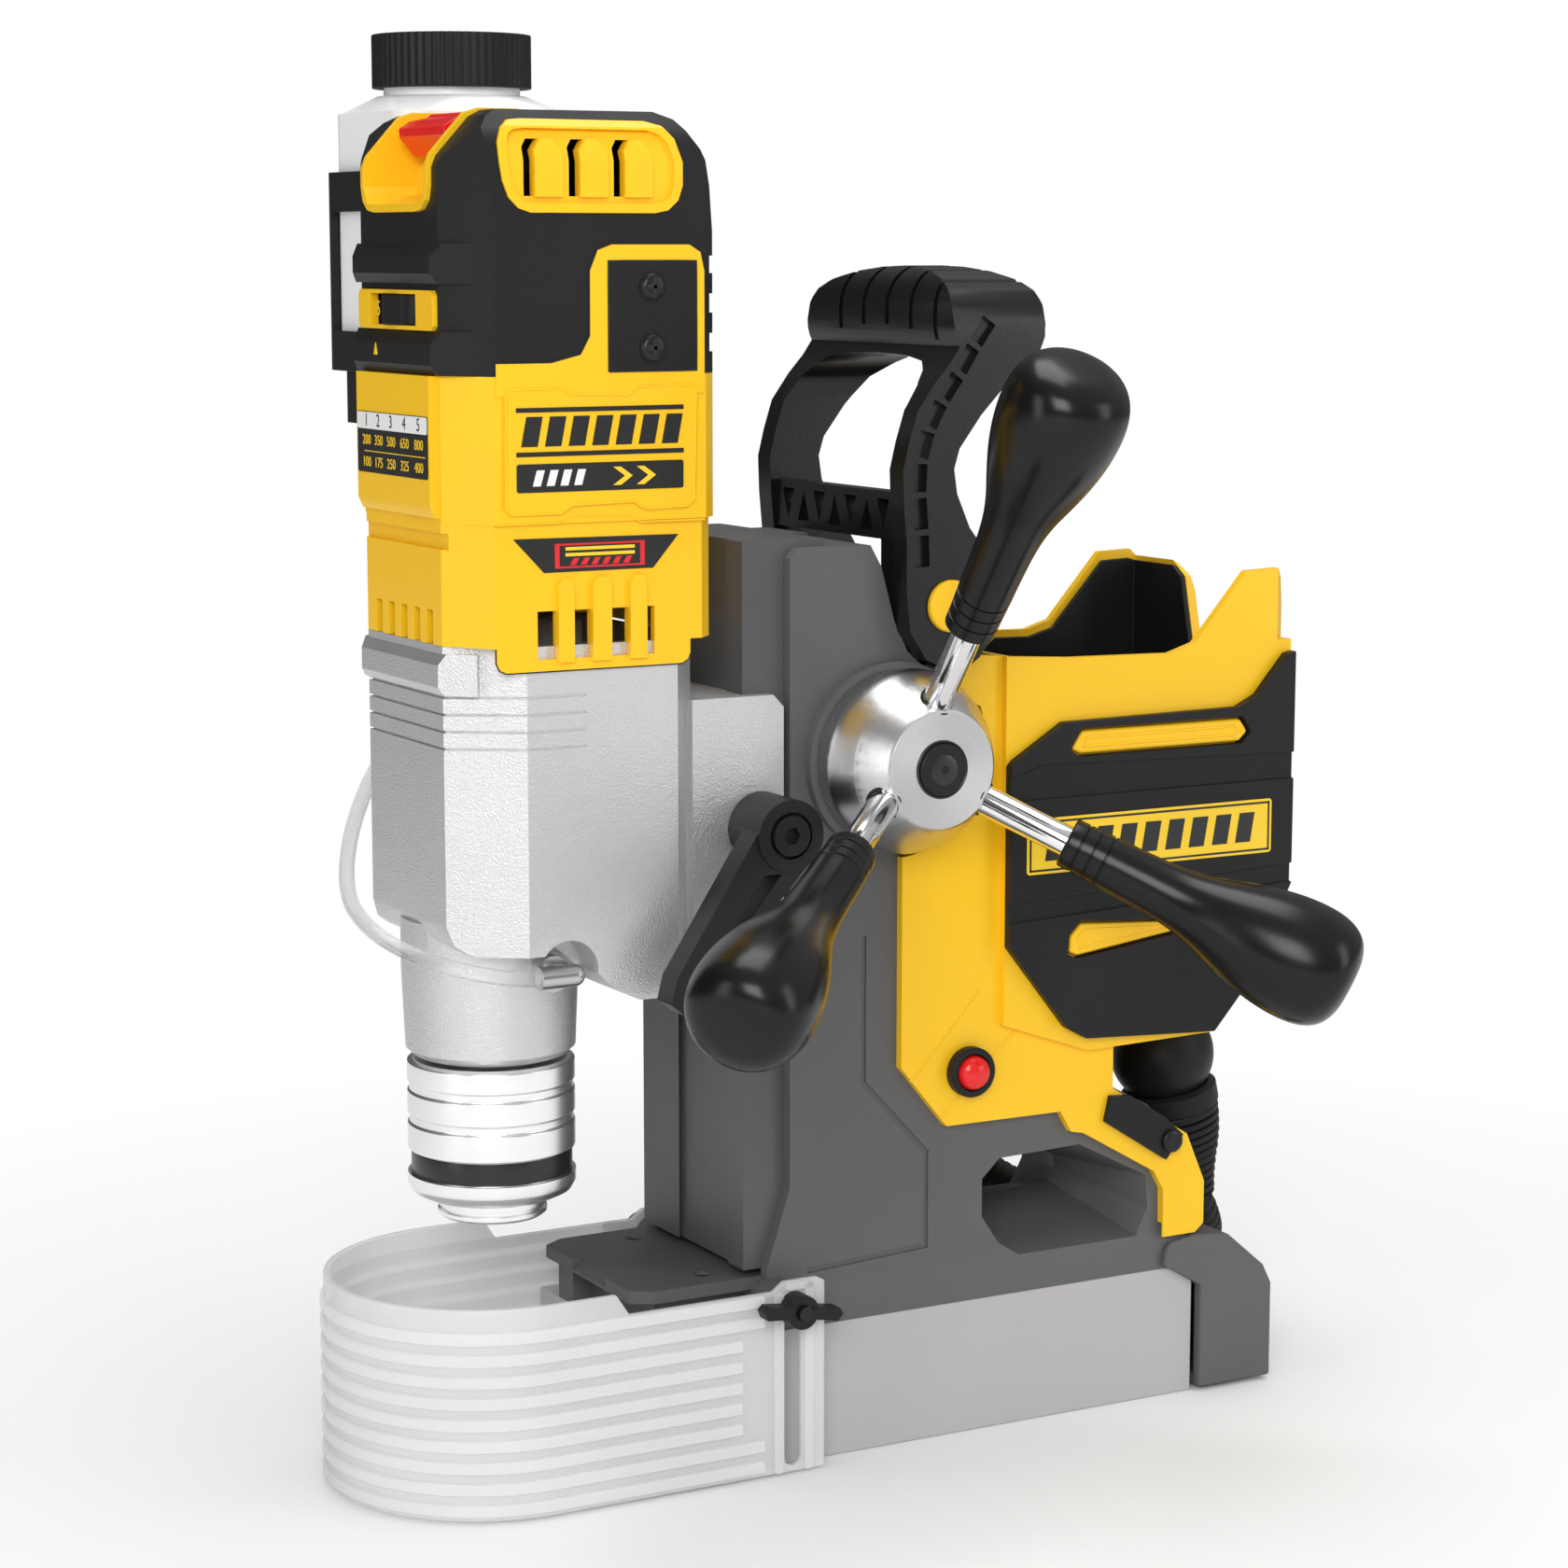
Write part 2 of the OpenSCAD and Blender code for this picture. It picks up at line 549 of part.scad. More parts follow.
// Places its children along spoke k, with +Z out along the spoke
module on_spoke(k) {
    a = 88 + 120 * k;
    translate([hub_x, -53.4, hub_z]) rotate([0, -a, 0]) rotate([0, 0, -spoke_tilt])
        rotate([0, 90, 0]) children();
}
module feed_hub() {
    color(SILVER) difference() {
        translate([hub_x, -44, hub_z]) rotate([90, 0, 0]) rotate_extrude($fn = 96)
            polygon([[0, 0], [29, 0], [29, 6], [30, 7], [30, 8.5], [29, 11.5], [26.5, 17],
                [23.5, 22], [20, 27.5], [19, 28.6], [8.6, 28.6], [8.6, 27], [0, 27]]);
        rod_y(hub_x, hub_z, 8, -54, -40);
        for (k = [0:2]) on_spoke(k) translate([0, 0, 14]) cylinder(r = 5, h = 40);
    }
}
module feed_spokes() {
    color(SILVER) for (k = [0:2]) on_spoke(k) translate([0, 0, 14]) cylinder(r = 4.99, h = 70);
}
module feed_knobs() {
    color(BLACK) for (k = [0:2]) on_spoke(k) translate([0, 0, 56]) rotate_extrude()
        polygon([[5, 0], [7.4, 0], [8.1, 0.8], [8.2, 4.4], [7.8, 4.8], [8.25, 5.2], [8.35, 8.8], [7.95, 9.2],
            [8.4, 9.6], [8.5, 13.2], [8.1, 13.6], [8.6, 14], [8.8, 24], [9.3, 34], [10.3, 42], [12, 49],
            [14.6, 57], [17, 65], [18.7, 73], [19.5, 81], [19.2, 88], [17.6, 93.5], [14.6, 97.4],
            [10, 99.6], [4, 100.5], [0, 100.5], [0, 28.1], [5, 28.1]]);
}
module hub_cap() {
    color(BLACK) translate([hub_x, -71, hub_z]) rotate([90, 0, 0]) rotate_extrude()
        polygon([[0, 0], [8.5, 0], [8.5, 2.2], [8, 3], [0, 3.4]]);
}

// ---------------------------------------------------------------- gearbox
module gearbox_housing() {
    profile = [[-27.7, 273.9], [-27.6, 187], [-25.6, 181], [-20.5, 177.6], [9, 177.6], [18, 170],
        [25, 164], [32, 160.8], [43, 160.6], [49.5, 168.5], [56, 185], [60, 190], [60, 273.9]];
    inner = head_plan(-24.7, 26, -3.5, 39.5, 53, 8);
    color(SILVER) translate([spindle_x, 0, 0]) difference() {
        union() {
            intersection() {
                translate([0, 0, 150]) linear_extrude(125)
                    polygon(head_plan(head_front, 29.3, -6, 43.5, 54.6, 9));
                side(profile, -50, 50);
            }
            // brow under the yellow housing
            intersection() {
                side([[-20, 259], [-28, 259], [-29.7, 261.5], [-29.7, 268.3], [-27.6, 271.8],
                    [-20, 271.8]], -38, 38);
                translate([0, 0, 250]) linear_extrude(30) polygon(head_plan(-29.7, 30.3, -20, 38, 5, 2));
            }
            rotate_extrude() polygon([[0, 139.6], [24.5, 139.6], [27.2, 142], [28.3, 168], [28.3, 184.5],
                [0, 184.5]]);
            // bracket that holds the slide
            side([[52, 165], [52, 254], [81, 254], [84.7, 250], [84.7, 172], [76, 165]], -41, 41);
        }
        // gear space and the bores of the neck
        translate([0, 0, 184.5]) linear_extrude(95) polygon(inner);
        intersection() {
            translate([0, 0, 176]) linear_extrude(9) polygon(inner);
            block([15, 8, 170], [60, 60, 190]);
        }
        translate([0, 0, 130]) cylinder(r = 13.5, h = 60);
        translate([0, 0, 146]) cylinder(r = 16.02, h = 12);
        // channel of the slide, with a tongue left in its front groove
        difference() {
            block([72.5, -slide_half - 0.12, 150], [95, slide_half + 0.12, 270]);
            translate([0, 0, 140]) linear_extrude(140)
                polygon([[72, 8.7], [73.95, 10.65], [73.95, -26.05], [72, -24.1]]);
        }
        // notch above the coolant port
        rod_y(port_c[0] + 0.5, port_c[1] + 2.4, 10, -50, -28.9);
        // casting lines round the front
        for (z = [242, 247.3, 252.6, 257.9]) translate([0, 0, z]) difference() {
            linear_extrude(0.8) polygon(head_plan(-40, 39, -16, 60, 14, 1));
            linear_extrude(0.8) polygon(head_plan(-26.7, 28.6, -5.3, 42.9, 16, 1));
        }
        // thread of the clamp lever
        rod_y(lever_c[0] - spindle_x, lever_c[1], 4.05, -50, -30);
    }
}
// Two plates inside the gearbox that carry the bearings
module bearing_plate() {
    plan = head_plan(-24.6, 25.9, -3.4, 39.4, 52.9, 8);
    color(SILVER) translate([spindle_x, 0, 0]) difference() {
        union() {
            translate([0, 0, 209]) linear_extrude(8) polygon(plan);
            translate([0, 0, 255]) linear_extrude(8) polygon(plan);
        }
        translate([0, 0, 200]) cylinder(r = 14.02, h = 30);
        translate([12, 0, 250]) cylinder(r = 8, h = 20);
        translate([24.52, 19.29, 200]) cylinder(r = 5, h = 30);
        translate([24.52, 19.29, 254]) cylinder(r = 8.02, h = 6);
    }
}
module head_bearings() {
    color(SILVER) {
        translate([spindle_x, 0, 146]) ring_z(16, 10, 12);
        translate([spindle_x, 0, 209]) ring_z(14, 10, 8);
        translate([idler_c[0], idler_c[1], 255]) ring_z(8, 4, 5);
        translate([idler_c[0], idler_c[1], 176]) ring_z(8, 4, 5);
        translate([motor_c[0], 0, 258]) ring_z(7.9, 3.5, 5);
        translate([motor_c[0], 0, 358]) ring_z(9, 3.5, 6);
    }
}

// ---------------------------------------------------------------- motor housing
head_rear = 59.5;
cover_frame = [[-16.5, 350], [-16.5, 359.8], [1.7, 359.8], [11.7, 362.2], [14.9, 367.8], [15, 387.4],
    [17.6, 393.5], [22.3, 395.2], [48.7, 395.2], [52.5, 392.9], [53.8, 387.2], [53.8, 350]];
head_front = -27.7;
frame_plan = head_plan(head_front, 30, -17, head_half, head_rear, 5);
// Sunk outline on the side of the motor housing
panel_side = [[-13.5, 352], [4.7, 352.2], [8.5, 350.2], [27.4, 349.8], [31.2, 352.3], [48.5, 352.6],
    [50.8, 350.8], [50, 317.3], [47.4, 315.3], [32.9, 315], [29.1, 317.4], [8.2, 316.9], [4.4, 314.5],
    [-11.8, 314.5], [-13.9, 316.5]];
// Ends in X of the cooling slots of the sides, and of the ribs between them
side_slots = [[-2.8, 3.6], [8.9, 15.2], [21.6, 28], [33.7, 37]];
module motor_housing() {
    color(YELLOW) translate([spindle_x, 0, 0]) difference() {
        union() {
            translate([0, 0, 311.5]) linear_extrude(44.5) polygon(frame_plan);
            translate([0, 0, 274]) linear_extrude(37.6)
                polygon(head_plan(head_front, 29.3, -17.3, head_half - 1.2, head_rear - 1, 5));
            // bump at the front
            side([[-26.7, 313], [-29.1, 313], [-30.7, 316.5], [-30.7, 355.9], [-26.7, 355.9]], -28.5, 28.5);
            // skirts over the gearbox's sides, with their ribs
            for (s = [-1, 1]) {
                side([[-16.7, 276], [-16.7, 269.6], [-15.7, 267.4], [-13.4, 266.3], [46.4, 266.3],
                    [48.7, 267.5], [49.6, 269.8], [49.6, 276]],
                    min(s * 43.6, s * (head_half - 1.2)), max(s * 43.6, s * (head_half - 1.2)));
                for (i = [0:2]) side([[side_slots[i][1], 269], [side_slots[i][1], 292.5],
                    [side_slots[i][1] + 1.5, 294.8], [side_slots[i + 1][0] - 1.5, 294.8],
                    [side_slots[i + 1][0], 292.5], [side_slots[i + 1][0], 269]],
                    min(s * 44, s * (head_half + 0.5)), max(s * 44, s * (head_half + 0.5)));
            }
            // frame of the side cover
            side(cover_frame, -head_half - 0.6, -40.2);
            side(cover_frame, 40.2, head_half);
            // panel of the near side
            side(panel_side, -head_half - 0.7, -head_half + 1);
        }
        translate([0, 0, 268.1]) linear_extrude(82)
            polygon(head_plan(-24.7, 28.5, -14, head_half - 4, head_rear - 3, 4));
        // room for the motor
        translate([12, 0, 340]) cylinder(r = 30, h = 30);
        translate([0, 0, 356]) linear_extrude(50) polygon(head_plan(-24.7, 28.5, -14, 40.2, 80, 4));
        // step round the front
        block([-40, -60, 303.5], [-26.1, 60, 308.5]);
        // cooling slots of the sides
        for (s = [-1, 1]) for (e = side_slots) side([[e[0], 270], [e[1], 270], [e[1], 284.8],
            [e[0], 284.8]], s > 0 ? 30 : -60, s > 0 ? 60 : -30);
        // cooling slots of the front
        for (y = [-20:10:20]) block([-40, y - 2.5, 272.5], [-20, y + 2.5, 284.5]);
        // seat of the side cover
        side([[21, 357], [51, 357], [51, 390.3], [21, 390.3]], -50, -44);
        for (z = [364, 382.5]) rod_y(36, z, 1.9, -50, -38);
    }
}
module side_cover() {
    color(BLACK) translate([spindle_x, 0, 0]) difference() {
        side([[21.1, 357.1], [50.9, 357.1], [50.9, 390.2], [21.1, 390.2]], -47, -44);
        for (z = [364, 382.5]) rod_y(36, z, 1.9, -60, 60);
    }
}
module head_screws() {
    color([0.2, 0.2, 0.2]) for (z = [364, 382.5]) {
        rod_y(spindle_x + 36, z, 1.85, -47.2, -41);
        rod_y(spindle_x + 36, z, 3.7, -48.3, -47.05);
    }
}
module motor_stator() {
    color(GREY) translate([motor_c[0], 0, 290]) difference() {
        cylinder(r = 29, h = 54);
        translate([0, 0, -1]) cylinder(r = 15, h = 60);
    }
}
// Side outline and top view of the black cover; the cover is where they meet
cover_side = [[head_front, 356], [head_front, 418], [-26.3, 421.6], [-15.6, 433.2], [-11.6, head_top], [41, head_top],
    [47, 433], [53.5, 424], [57.5, 413], [59.5, 399], [59.5, 356]];
function cover_end(g) = [[-head_half - g, 350], [-head_half - g, 420], [-head_half + 3 - g, 429.5 + g],
    [-head_half + 9, head_top + g], [head_half - 9, head_top + g], [head_half - 3 + g, 429.5 + g],
    [head_half + g, 420], [head_half + g, 350]];
// Heights of the three notches down the rear
rear_steps = [[362.5, 368.2], [374.4, 380.3], [386.5, 391.8]];
// Side outline of the paddle's cup, and its outline seen from the front
cup_side = [[-36, 404.8], [-17, 404.8], [-9.5, 408], [-7, 418.5], [-0.5, 420.5], [1.4, 428], [1.4, 445],
    [-36, 445]];
function cup_front(g) = both_halves([[25.8 + g, 450], [25.8 + g, 413], [24.3 + g, 408.4 - g],
    [20.8, 405.7 - g], [16, 405 - g], [0, 405 - g]]);
module top_cover() {
    color(BLACK) translate([spindle_x, 0, 0]) difference() {
        union() {
            intersection() {
                translate([0, 0, 356]) linear_extrude(90) polygon(frame_plan);
                side(cover_side, -60, 60);
                across(cover_end(0), -60, 70);
            }
            // ridges above and below the speed dial
            for (r = [[356.05, 369.3], [383.5, 395.5]]) intersection() {
                side([[-18, r[0]], [-28.7, r[0]], [-30.7, r[0] + 3], [-30.7, r[1] - 4], [-27.7, r[1]],
                    [-18, r[1]]], -60, 60);
                translate([0, 0, 350]) linear_extrude(60)
                    polygon(head_plan(-30.7, 30, -16, head_half, 0, 5));
            }
        }
        // inside
        intersection() {
            translate([0, 0, 350]) linear_extrude(82) polygon(head_plan(-24.7, 28.5, -14, 43, 56.5, 4));
            side([[-24.7, 350], [-24.7, 390], [-21, 398], [-8, 402], [-4, 406], [-3, 415], [4, 418],
                [6, 431.5], [38, 431.5],
                [48, 425], [56.5, 400], [56.5, 350]], -60, 60);
            across(cover_end(-3.2), -60, 70);
        }
        intersection() {
            side(cup_side, -30, 30);
            across(cup_front(0.1), -60, 60);
        }
        // seat of the speed dial's frame
        across(dial_frame(0.1), -40, -26.1);
        across(dial_window(0), -40, -18);
        // windows of the grilles
        for (s = [-1, 1]) side(grille_side(0), s > 0 ? 30 : -60, s > 0 ? 60 : -30);
        // room for the yellow frames
        for (s = [-1, 1]) side([[-16.6, 340], [-16.6, 359.9], [1.6, 359.9], [11.6, 362.3], [14.8, 367.9],
            [14.9, 387.5], [17.5, 393.6], [22.3, 395.3], [48.8, 395.3], [52.6, 393], [53.9, 387.3],
            [53.9, 340]], s > 0 ? 40.1 : -60, s > 0 ? 60 : -40.1);
        // notches down the rear and the vents in them
        for (r = rear_steps) {
            block([57.3, -60, r[0]], [70, 60, r[1]]);
            block([50, -34, r[0] + 1.5], [70, 34, r[1] - 1.5]);
        }
    }
}
// Outline of a grille: each point's place, and the way it moves when the outline shrinks by g
grille_points = [[-4.5, 404.5, 0, 1], [-8.6, 405.8, 0.5, 0.8], [-11.8, 409, 0.8, 0.5], [-13.8, 414, 1, 0.2],
    [-14.8, 420, 1, 0], [-14.6, 425.4, 1, 0], [-13, 429.6, 0.8, -0.5], [-9.6, 432.2, 0.3, -1],
    [-5, 432.6, 0, -1], [36, 432.4, 0, -1], [41, 431, -0.5, -0.9], [44.8, 427, -0.9, -0.4],
    [46.6, 420, -1, 0], [46.6, 413, -1, 0], [45, 408.4, -0.8, 0.5], [41.6, 405.4, -0.4, 0.9],
    [37, 404.5, 0, 1]];
function grille_side(g) = [for (p = grille_points) [p[0] + g * p[2], p[1] + g * p[3]]];
// The bottle's bracket leaves this much room on the far side
grille_far = 46.05;
module top_grilles() {
    color(YELLOW) translate([spindle_x, 0, 0]) for (s = [-1, 1]) {
        difference() {
            intersection() {
                side(grille_side(0.1), s > 0 ? 30 : -60, s > 0 ? grille_far : -30);
                difference() {
                    across(cover_end(0.7), -60, 70);
                    across(cover_end(-3), -70, 80);
                }
            }
            intersection() {
                side(grille_side(3), s > 0 ? 41 : -60, s > 0 ? 60 : -41);
                difference() {
                    across(cover_end(3), -60, 70);
                    across(cover_end(-0.8), -70, 80);
                }
            }
            for (i = [0:2]) side([[-6.2 + i * 15, 409.5], [-3.2 + i * 15, 409.5], [-3.2 + i * 15, 423],
                [-0.5 + i * 15, 426.5], [-4.5 + i * 15, 426.5], [-6.2 + i * 15, 424]],
                s > 0 ? 30 : -60, s > 0 ? 60 : -30);
        }
        // louvres
        for (i = [0:2]) intersection() {
            side([[-3.2 + i * 15, 409.3], [6.2 + i * 15, 409.3], [6.2 + i * 15, 422.5], [3 + i * 15, 426.5],
                [-0.5 + i * 15, 426.5], [-3.2 + i * 15, 423]], s > 0 ? 42 : -60, s > 0 ? grille_far : -42);
            difference() {
                across(cover_end(1), -60, 70);
                across(cover_end(-2), -70, 80);
            }
        }
    }
}
// Window of the speed dial, and the yellow frame round it
function dial_window(g) = [[-16.2 - g, 370.6 - g], [20.2 + g, 370.6 - g], [20.2 + g, 380.4 + g],
    [-16.2 - g, 380.4 + g]];
function dial_frame(g) = [[-27.5, 369.4 - g], [27.5, 369.4 - g], [29 + g, 370.9], [29 + g, 380],
    [27.5, 381.5 + g], [-27.5, 381.5 + g], [-29 - g, 380], [-29 - g, 370.9]];
module paddle_cup() {
    color(YELLOW) translate([spindle_x, 0, 0]) {
        difference() {
            intersection() {
                side(cup_side, -30, 30);
                across(cup_front(0), -60, 60);
                side([[-29.3, 400], [-29.3, 418.6], [-27.7, 422.4], [-16.6, 434.6], [-12, 436], [3, 436],
                    [3, 400]], -60, 60);
            }
            intersection() {
                side([[-44, 407.6], [-25, 407.6], [-19, 409.8], [-12, 410.6], [-10, 419.8], [-3, 422],
                    [-1, 428], [-1, 450], [-44, 450]], -30, 30);
                across(cup_front(-2.3), -60, 60);
            }
        }
        // frame of the speed dial's window
        difference() {
            across(dial_frame(0), -29.3, -26.2);
            across(dial_window(-0.1), -40, -20);
        }
    }
}
module motor_board() {
    color([0.1, 0.4, 0.2]) translate([spindle_x, 0, 0]) block([-5, -25, 385], [40, 25, 387]);
    color(BLACK) translate([spindle_x, 0, 0]) for (x = [2, 16, 30]) block([x, -18, 387], [x + 8, -4, 396]);
}

// ---------------------------------------------------------------- coolant
module bottle_bracket() {
    w = bottle_w + 0.8;
    c = bottle_c;
    color(BLACK) difference() {
        union() {
            translate([c[0], c[1], 353.5]) linear_extrude(65.5) polygon(round_rect(w + 5, w + 5, 10));
            translate([c[0], c[1], 336]) linear_extrude(18) polygon(round_rect(w - 3, w - 3, 9));
            translate([c[0], c[1], 333]) linear_extrude(4) polygon(round_rect(w - 8, w - 8, 9));
            block([c[0] - 25, head_half + 0.3, 336], [c[0] + 22, head_half + 3, 405]);
        }
        translate([c[0], c[1], 356.5]) linear_extrude(80) polygon(round_rect(w, w, 8.5));
        // windows
        for (a = [0:90:270]) translate([c[0], c[1], 0]) rotate([0, 0, a])
            block([20, -24, 366.7], [50, 24, 406]);
        // space round the valve, open below
        translate([c[0], c[1], 330]) linear_extrude(23.5) polygon(round_rect(w - 14, w - 14, 6));
        translate([c[0], c[1], 320]) cylinder(r = 4, h = 40);
    }
    color(BLACK) translate([c[0], c[1], 326]) ring_z(4, 2.5, 27.4);
}
// Middle of the coolant port in X (from the spindle) and Z
port_c = [7, 169.5];
module coolant_port() {
    color(SILVER) translate([spindle_x, 0, 0]) {
        difference() {
            rod_y(port_c[0], port_c[1], 5.8, -33, -26.6);
            translate([0, 0, 150]) cylinder(r = 28.35, h = 40);
        }
        rod_y(port_c[0], port_c[1], 4, -37, -32);
        translate([port_c[0] - 7, -37, port_c[1]]) rotate([0, 90, 0]) cylinder(r = 3.6, h = 12);
        translate([port_c[0] + 5, -37, port_c[1]]) sphere(r = 3.6);
    }
}
module coolant_tube() {
    color([0.85, 0.9, 0.92]) tube(tube_route, tube_d, 10);
}
module coolant_bottle() {
    c = bottle_c;
    color([0.95, 0.95, 0.94]) difference() {
        union() {
            translate([c[0], c[1], 357]) linear_extrude(81) polygon(round_rect(bottle_w, bottle_w, 9));
            hull() {
                translate([c[0], c[1], 437]) linear_extrude(0.5)
                    polygon(round_rect(bottle_w, bottle_w, 9));
                translate([c[0], c[1], 443]) cylinder(r = 24.6, h = 0.5, $fn = 32);
            }
            translate([c[0], c[1], 443]) cylinder(r = 22.5, h = 18);
        }
        translate([c[0], c[1], 359]) linear_extrude(77) polygon(round_rect(bottle_w - 4, bottle_w - 4, 7));
        translate([c[0], c[1], 430]) cylinder(r = 20.5, h = 50);
    }
}
module bottle_cap() {
    color(BLACK) translate([bottle_c[0], bottle_c[1], 446]) difference() {
        linear_extrude(17.5) polygon([for (i = [0:119]) let (r = i % 2 == 0 ? 26.4 : 25.7)
            [r * cos(3 * i), r * sin(3 * i)]]);
        translate([0, 0, -1]) cylinder(r = 22.9, h = 16.2);
    }
}

// ---------------------------------------------------------------- drive
module motor_rotor() {
    color(GREY) translate([motor_c[0], 0, 0]) {
        translate([0, 0, 292]) cylinder(r = 14, h = 50);
        translate([0, 0, 226]) linear_extrude(14) rotate(mesh_im + 180 + 18) gear_plan(1, 10, 0.3, 0.7);
        translate([0, 0, 239]) cylinder(r = 3.45, h = 128);
    }
}
module cooling_fan() {
    color(BLACK) translate([motor_c[0], 0, 270]) {
        ring_z(8, 3.5, 10);
        difference() {
            cylinder(r = 24, h = 2);
            translate([0, 0, -1]) cylinder(r = 7.5, h = 4);
        }
        for (a = [0:30:330]) rotate(a) translate([7.5, -0.7, 1]) cube([16, 1.4, 8]);
    }
}
module idler_gear() {
    color(SILVER) translate([idler_c[0], idler_c[1], 0]) {
        translate([0, 0, 177]) cylinder(r = 3.95, h = 82);
        translate([0, 0, 188]) linear_extrude(18) rotate(mesh_si + 180 + 180 / 14)
            gear_plan(1.2, 14, 0.3, 0.75);
        translate([0, 0, 228]) linear_extrude(9) rotate(mesh_im) gear_plan(1, 36, 0.3, 0.7);
    }
}
module spindle() {
    color(SILVER) translate([spindle_x, 0, 0]) difference() {
        union() {
            translate([0, 0, 138.6]) cylinder(r = 9.96, h = 79);
            translate([0, 0, 132]) cylinder(r = 12.9, h = 13);
        }
        translate([0, 0, 131]) cylinder(r = 3, h = 60);
    }
}
module spindle_gear() {
    color(SILVER) translate([spindle_x, 0, 190]) difference() {
        linear_extrude(14) rotate(mesh_si) gear_plan(1.2, 38, 0.3, 0.75);
        translate([0, 0, -1]) cylinder(r = 9.96, h = 16);
    }
}
module chuck_body() {
    color(SILVER) translate([spindle_x, 0, 0]) difference() {
        rotate_extrude($fn = 96) polygon([[arbor_r, 86.4], [16.4, 86.4], [17.6, 87.4], [17.6, 88.6],
            [16.6, 89], [16.6, 90], [17.8, 90.4], [17.8, 92], [22, 93.2], [25.6, 95], [27, 97.6], [27, 101],
            [25.6, 101], [25.6, 126.6], [20, 126.6], [20, 138.4], [12.95, 138.4], [12.95, 131.9],
            [arbor_r, 131.9]]);
        // drive screws of the arbor
        for (a = [90, 270]) rotate(a) translate([0, 0, 112]) rotate([0, 90, 0]) translate([0, 0, 17])
            cylinder(r = 2.6, h = 20);
    }
}
module chuck_sleeve() {
    color(SILVER) translate([spindle_x, 0, 0]) rotate_extrude($fn = 96)
        polygon([[25.95, 108.6], [26.9, 109], [26.9, 117.4], [26.3, 117.8], [26.3, 120.2], [26.9, 120.6],
            [26.9, 127.8], [26.3, 128.2], [26.3, 130.6], [26.9, 131], [26.9, 137.4], [25.4, 138.4],
            [20.3, 138.4], [20.3, 134.4], [25.95, 134.4]]);
}

// ---------------------------------------------------------------- controls
module clamp_lever() {
    c = lever_c;
    arm = [[c[0] - 10.5, c[1] + 3], [c[0] - 40, c[1] - 42], [c[0] - 42, c[1] - 50], [c[0] - 37, c[1] - 54],
        [c[0] - 27, c[1] - 46], [c[0] + 8, c[1] - 8]];
    color(BLACK) {
        difference() {
            union() {
                rod_y(c[0], c[1], 11.5, -62, -41.2);
                side(arm, -61, -51);
            }
            side([[c[0] - 9, c[1] - 12], [c[0] - 29, c[1] - 38], [c[0] - 24, c[1] - 38],
                [c[0] - 3, c[1] - 12]], -70, -40);
            rod_y(c[0], c[1], 7.5, -70, -59.5);
            rod_y(c[0], c[1], 4.02, -70, -30);
        }
    }
    color(GREY) difference() {
        union() {
            rod_y(c[0], c[1], 4, -59.6, -37);
            rod_y(c[0], c[1], 6.4, -62.5, -59.4);
        }
        rod_y(c[0], c[1], 2.9, -70, -60.2, $fn = 6);
    }
}
dial_c = [-9.8, 2];
module speed_dial() {
    color(BLACK) translate([spindle_x + dial_c[0], dial_c[1], 370.9]) union() {
        linear_extrude(9.2) polygon([for (i = [0:71]) let (r = i % 2 == 0 ? 21.2 : 20.7)
            [r * cos(5 * i), r * sin(5 * i)]]);
        translate([0, 0, -4]) cylinder(r = 3, h = 18);
    }
}
module power_paddle() {
    color([0.85, 0.1, 0.1]) translate([spindle_x, 0, 0]) {
        side([[-19.5, 428], [-14.6, 422.2], [-11.4, 422.2], [-6.5, 424.6], [-3.6, 428], [-2.6, 434.6],
            [-4.4, 435.6], [-9, 435.3], [-9.8, 434.4], [-16.2, 433], [-19.8, 430.6]], -17.4, 17.4);
        rod_y(-7.5, 428.8, 1.8, -18.5, 18.5);
    }
}
module magnet_button() {
    color([0.85, 0.05, 0.05]) translate([12, -42, 124.6]) rotate([90, 0, 0]) rotate_extrude()
        polygon([[0, 0.2], [5.7, 0.2], [5.7, 5.6], [5, 7.2], [3.4, 8.3], [0, 8.9]]);
}

// ---------------------------------------------------------------- guard
// Plan outline of the guard, open at the rear
function guard_plan(r, rear) = concat([[rear, r]], [for (i = [0:32]) let (a = 90 + 180 * i / 32)
    [guard_cx + r * cos(a), r * sin(a)]], [[rear, -r]]);
module chip_guard() {
    ri = guard_r - guard_wall;
    color([0.85, 0.88, 0.88]) difference() {
        translate([0, 0, 1]) linear_extrude(68) polygon(guard_plan(guard_r, guard_rear));
        translate([0, 0, 0]) linear_extrude(80) polygon(guard_plan(ri, guard_rear + 1));
        // lower rim along both sides
        side([[-126, 75], [-117.5, 62], [-66, 62], [-62, 65], [-50, 65], [-40, 60], [-40, 80], [-126, 80]],
            -60, 60);
        // slots of the studs
        for (s = [-1, 1]) {
            block([stud_x - 3, min(s * 40, s * 60), 6], [stud_x + 3, max(s * 40, s * 60), stud_z - 0.2]);
            rod_y(stud_x, stud_z - 0.2, 3, min(s * 40, s * 60), max(s * 40, s * 60));
            rod_y(stud_x, 6, 3, min(s * 40, s * 60), max(s * 40, s * 60));
        }
    }
}
module wing_nut(s) {
    difference() {
        union() {
            rod_y(stud_x, stud_z, 5.6, min(s * 52.2, s * 59), max(s * 52.2, s * 59));
            for (m = [-1, 1]) translate([stud_x, 0, stud_z]) rotate([0, 8, 0]) side([[m * 3, -2],
                [m * 13, -2.6], [m * 14.5, 0], [m * 13, 1.8], [m * 3, 2]], s > 0 ? 54 : -59.5,
                s > 0 ? 59.5 : -54);
        }
        rod_y(stud_x, stud_z, 2.55, -70, 70);
    }
}
module wing_nut_near() {
    color(BLACK) wing_nut(-1);
}
module wing_nut_far() {
    color(BLACK) wing_nut(1);
}

